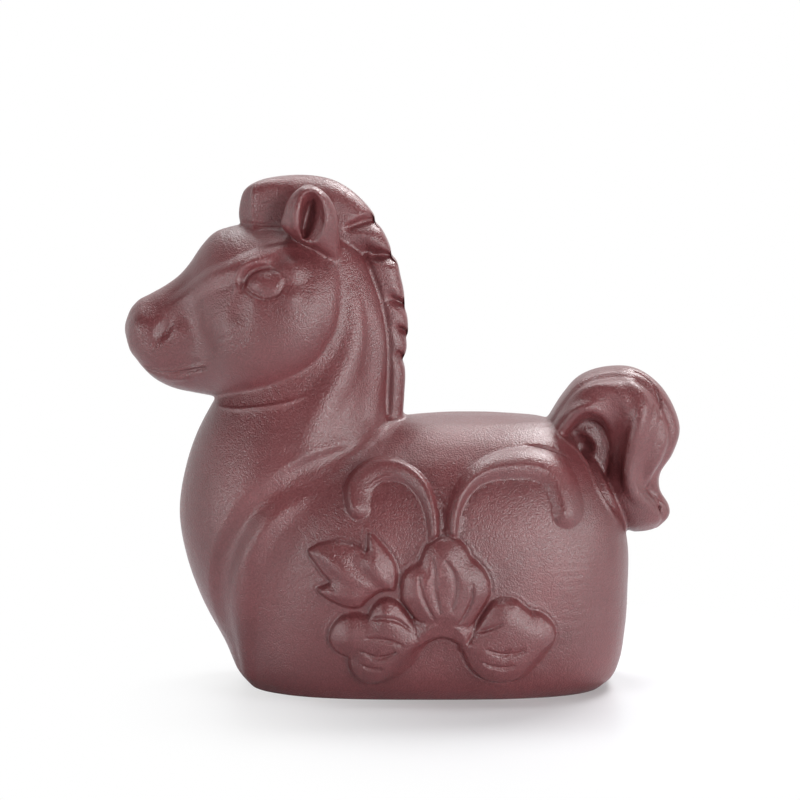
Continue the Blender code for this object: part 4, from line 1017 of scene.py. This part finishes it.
clay = {
    # (place on the mottling's ramp, colour)
    "darkTone": (0.34, (0.090, 0.020, 0.022, 1.0)),
    "middleTone": (0.5, (0.126, 0.029, 0.032, 1.0)),
    "paleTone": (0.68, (0.176, 0.045, 0.049, 1.0)),
    "cloudScale": 70.0,
    "grainShare": 0.6,  # share of the fine grain in the mottling, the rest is clouds
    "grainScale": 3400.0,
    "grainDepth": 0.00012,
    "grainSpan": (0.35, 0.65),
    "unevenScale": 420.0,
    "unevenDepth": 0.00010,
    "roughness": (0.28, 0.42),
    "shine": 0.75,
}


def mapRange(nodes, links, value, fromSpan, toSpan, kind="LINEAR"):
    node = nodes.new("ShaderNodeMapRange")
    node.interpolation_type = kind
    node.inputs["From Min"].default_value, node.inputs["From Max"].default_value = fromSpan
    node.inputs["To Min"].default_value, node.inputs["To Max"].default_value = toSpan
    links.new(value, node.inputs["Value"])
    return node.outputs["Result"]


def combine(nodes, links, operation, first, second):
    node = nodes.new("ShaderNodeMath")
    node.operation = operation
    links.new(first, node.inputs[0])
    links.new(second, node.inputs[1])
    return node.outputs["Value"]


def makeClay():
    material = bpy.data.materials.new("clay")
    material.use_nodes = True
    nodes = material.node_tree.nodes
    links = material.node_tree.links
    shader = nodes["Principled BSDF"]
    shader.inputs["Specular IOR Level"].default_value = clay["shine"]
    place = nodes.new("ShaderNodeTexCoord")

    def noise(scale, detail):
        node = nodes.new("ShaderNodeTexNoise")
        node.inputs["Scale"].default_value = scale
        node.inputs["Detail"].default_value = detail
        links.new(place.outputs["Object"], node.inputs["Vector"])
        return node.outputs["Fac"]

    def bump(height, depth, under=None):
        node = nodes.new("ShaderNodeBump")
        node.inputs["Distance"].default_value = depth
        links.new(height, node.inputs["Height"])
        if under is not None:
            links.new(under, node.inputs["Normal"])
        return node.outputs["Normal"]

    grain = noise(clay["grainScale"], 2.0)
    uneven = noise(clay["unevenScale"], 3.0)
    cloud = noise(clay["cloudScale"], 4.0)

    mottling = nodes.new("ShaderNodeMix")
    mottling.inputs["Factor"].default_value = clay["grainShare"]
    links.new(cloud, mottling.inputs["A"])
    links.new(grain, mottling.inputs["B"])
    tone = nodes.new("ShaderNodeValToRGB")
    steps = tone.color_ramp.elements
    steps[0].position, steps[0].color = clay["darkTone"]
    steps[1].position, steps[1].color = clay["paleTone"]
    middle, colour = clay["middleTone"]
    steps.new(middle).color = colour
    links.new(mottling.outputs["Result"], tone.inputs["Fac"])
    links.new(tone.outputs["Color"], shader.inputs["Base Color"])

    roughness = mapRange(nodes, links, grain, clay["grainSpan"], clay["roughness"])
    links.new(roughness, shader.inputs["Roughness"])
    broad = bump(uneven, clay["unevenDepth"])
    links.new(bump(grain, clay["grainDepth"], broad), shader.inputs["Normal"])
    return material


horse = makeHorse()
shift = seatOnFrame(horse, "tea_pet")
horse.data.materials.clear()
horse.data.materials.append(makeClay())
horse.data.shade_smooth()
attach(horse, "root")
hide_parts("tea_pet")
print("horse seated, shift", shift)


# Studio: white floor and backdrop, main lamp high behind the tail, softer ones low in front

studio = {
    "aim": (-0.0007, 0.0, 0.0515),
    "elevation": 7.0,
    "distance": 0.5418,
    "lens": 135.0,
    "sensor": 36.0,
    "clipStart": 0.01,
    "floorSize": 6.0,
    "floorColour": (0.84, 0.85, 0.88, 1.0),
    "floorRoughness": 0.35,
    # the floor turns plain white between these distances from the shadow's middle, the first pair for the
    # camera and the second for a shine; that middle is a point set right of the base, so the grey of lit
    # paper kept round it is painted shade for the figure's shadow and reflection there, with the real shadow
    # inside it
    "paintedShadowPlace": (0.028, -0.01, 0.0),
    "shadowLift": 0.2,
    "clearSeen": (0.015, 0.085),
    "clearShine": (0.09, 0.22),
    "backdropEdge": (0.0, 0.5),  # a shine meets the white backdrop behind, and a dim room in front
    "fill": 0.07,
    "lampDistance": 0.9,
    "lampSize": 0.32,
    "lamps": {
        # azimuth (0 in front, 90 at the tail), elevation, power
        "backHigh": (142.0, 50.0, 6.8),
        "frontTail": (28.0, 7.0, 4.3),
        "tailLow": (66.0, 10.0, 3.2),
        "top": (0.0, 87.0, 2.2),
        "behind": (200.0, 55.0, 2.6),
        "frontHead": (304.0, 5.0, 2.8),
        "head": (262.0, 12.0, 0.5),
    },
}


def seenRays(nodes, links):
    # 1 for what the camera sees straight on, and 1 for that and for what it sees in a shine
    rays = nodes.new("ShaderNodeLightPath")
    straight = rays.outputs["Is Camera Ray"]
    seen = combine(nodes, links, "MAXIMUM", straight, rays.outputs["Is Glossy Ray"])
    return straight, combine(nodes, links, "MAXIMUM", seen, rays.outputs["Is Transmission Ray"])


def makeFloor():
    bm = bmesh.new()
    bmesh.ops.create_grid(bm, x_segments=1, y_segments=1, size=studio["floorSize"] / 2)
    mesh = bpy.data.meshes.new("floor")
    bm.to_mesh(mesh)
    bm.free()
    floor = newObject("floor", mesh)
    material = bpy.data.materials.new("floorPaper")
    material.use_nodes = True
    nodes = material.node_tree.nodes
    links = material.node_tree.links
    paper = nodes["Principled BSDF"]
    paper.inputs["Base Color"].default_value = studio["floorColour"]
    paper.inputs["Roughness"].default_value = studio["floorRoughness"]
    place = nodes.new("ShaderNodeTexCoord")
    away = nodes.new("ShaderNodeVectorMath")
    away.operation = "DISTANCE"
    away.inputs[1].default_value = studio["paintedShadowPlace"]
    links.new(place.outputs["Object"], away.inputs[0])
    straight, seen = seenRays(nodes, links)

    def whiteness(span, least, onlyFor):
        far = mapRange(nodes, links, away.outputs["Value"], span, (least, 1.0), "SMOOTHSTEP")
        return combine(nodes, links, "MULTIPLY", far, onlyFor)

    # round the painted shadow's middle the camera sees lit paper, a painted shade beside the base; further
    # out, plain white
    byCamera = whiteness(studio["clearSeen"], studio["shadowLift"], straight)
    byShine = whiteness(studio["clearShine"], 0.0, seen)
    clear = combine(nodes, links, "MAXIMUM", byCamera, byShine)
    white = nodes.new("ShaderNodeEmission")
    white.inputs["Strength"].default_value = 1.0
    blend = nodes.new("ShaderNodeMixShader")
    links.new(clear, blend.inputs["Fac"])
    links.new(paper.outputs["BSDF"], blend.inputs[1])
    links.new(white.outputs["Emission"], blend.inputs[2])
    links.new(blend.outputs["Shader"], nodes["Material Output"].inputs["Surface"])
    mesh.materials.append(material)


def makeWorld():
    world = bpy.data.worlds.new("studioLight")
    bpy.context.scene.world = world
    world.use_nodes = True
    nodes = world.node_tree.nodes
    links = world.node_tree.links
    backdrop = nodes["Background"]
    backdrop.inputs["Color"].default_value = (1.0, 1.0, 1.0, 1.0)
    straight, seen = seenRays(nodes, links)
    place = nodes.new("ShaderNodeTexCoord")
    axes = nodes.new("ShaderNodeSeparateXYZ")
    links.new(place.outputs["Generated"], axes.inputs["Vector"])
    behind = mapRange(nodes, links, axes.outputs["Y"], studio["backdropEdge"], (0.0, 1.0), "SMOOTHSTEP")
    either = combine(nodes, links, "MAXIMUM", behind, straight)
    white = combine(nodes, links, "MULTIPLY", either, seen)
    level = mapRange(nodes, links, white, (0.0, 1.0), (studio["fill"], 1.0))
    links.new(level, backdrop.inputs["Strength"])


def pointAtAim(holder, aim, away, distance):
    holder.location = aim + away * distance
    holder.rotation_mode = "QUATERNION"
    holder.rotation_quaternion = (-away).to_track_quat("-Z", "Y")


def makeLamp(name, azimuth, elevation, power):
    lamp = bpy.data.lights.new(name, "AREA")
    lamp.shape = "DISK"
    lamp.size = studio["lampSize"]
    lamp.energy = power
    around, up = math.radians(azimuth), math.radians(elevation)
    away = Vector((math.sin(around) * math.cos(up), -math.cos(around) * math.cos(up), math.sin(up)))
    pointAtAim(newObject(name, lamp), Vector(studio["aim"]), away, studio["lampDistance"])


def makeCamera(moved):
    camera = bpy.data.cameras.new("camera")
    camera.lens = studio["lens"]
    camera.sensor_width = studio["sensor"]
    camera.clip_start = studio["clipStart"]
    holder = newObject("camera", camera)
    tilt = math.radians(studio["elevation"])
    aim = Vector(studio["aim"]) + Vector((moved * mm, 0.0, 0.0))
    pointAtAim(holder, aim, Vector((0.0, -math.cos(tilt), math.sin(tilt))), studio["distance"])
    bpy.context.scene.camera = holder


makeFloor()
makeWorld()
for name, (azimuth, elevation, power) in studio["lamps"].items():
    makeLamp(name, azimuth, elevation, power)
makeCamera(shift[0])
bpy.context.scene.view_settings.view_transform = "Standard"
print("studio set")
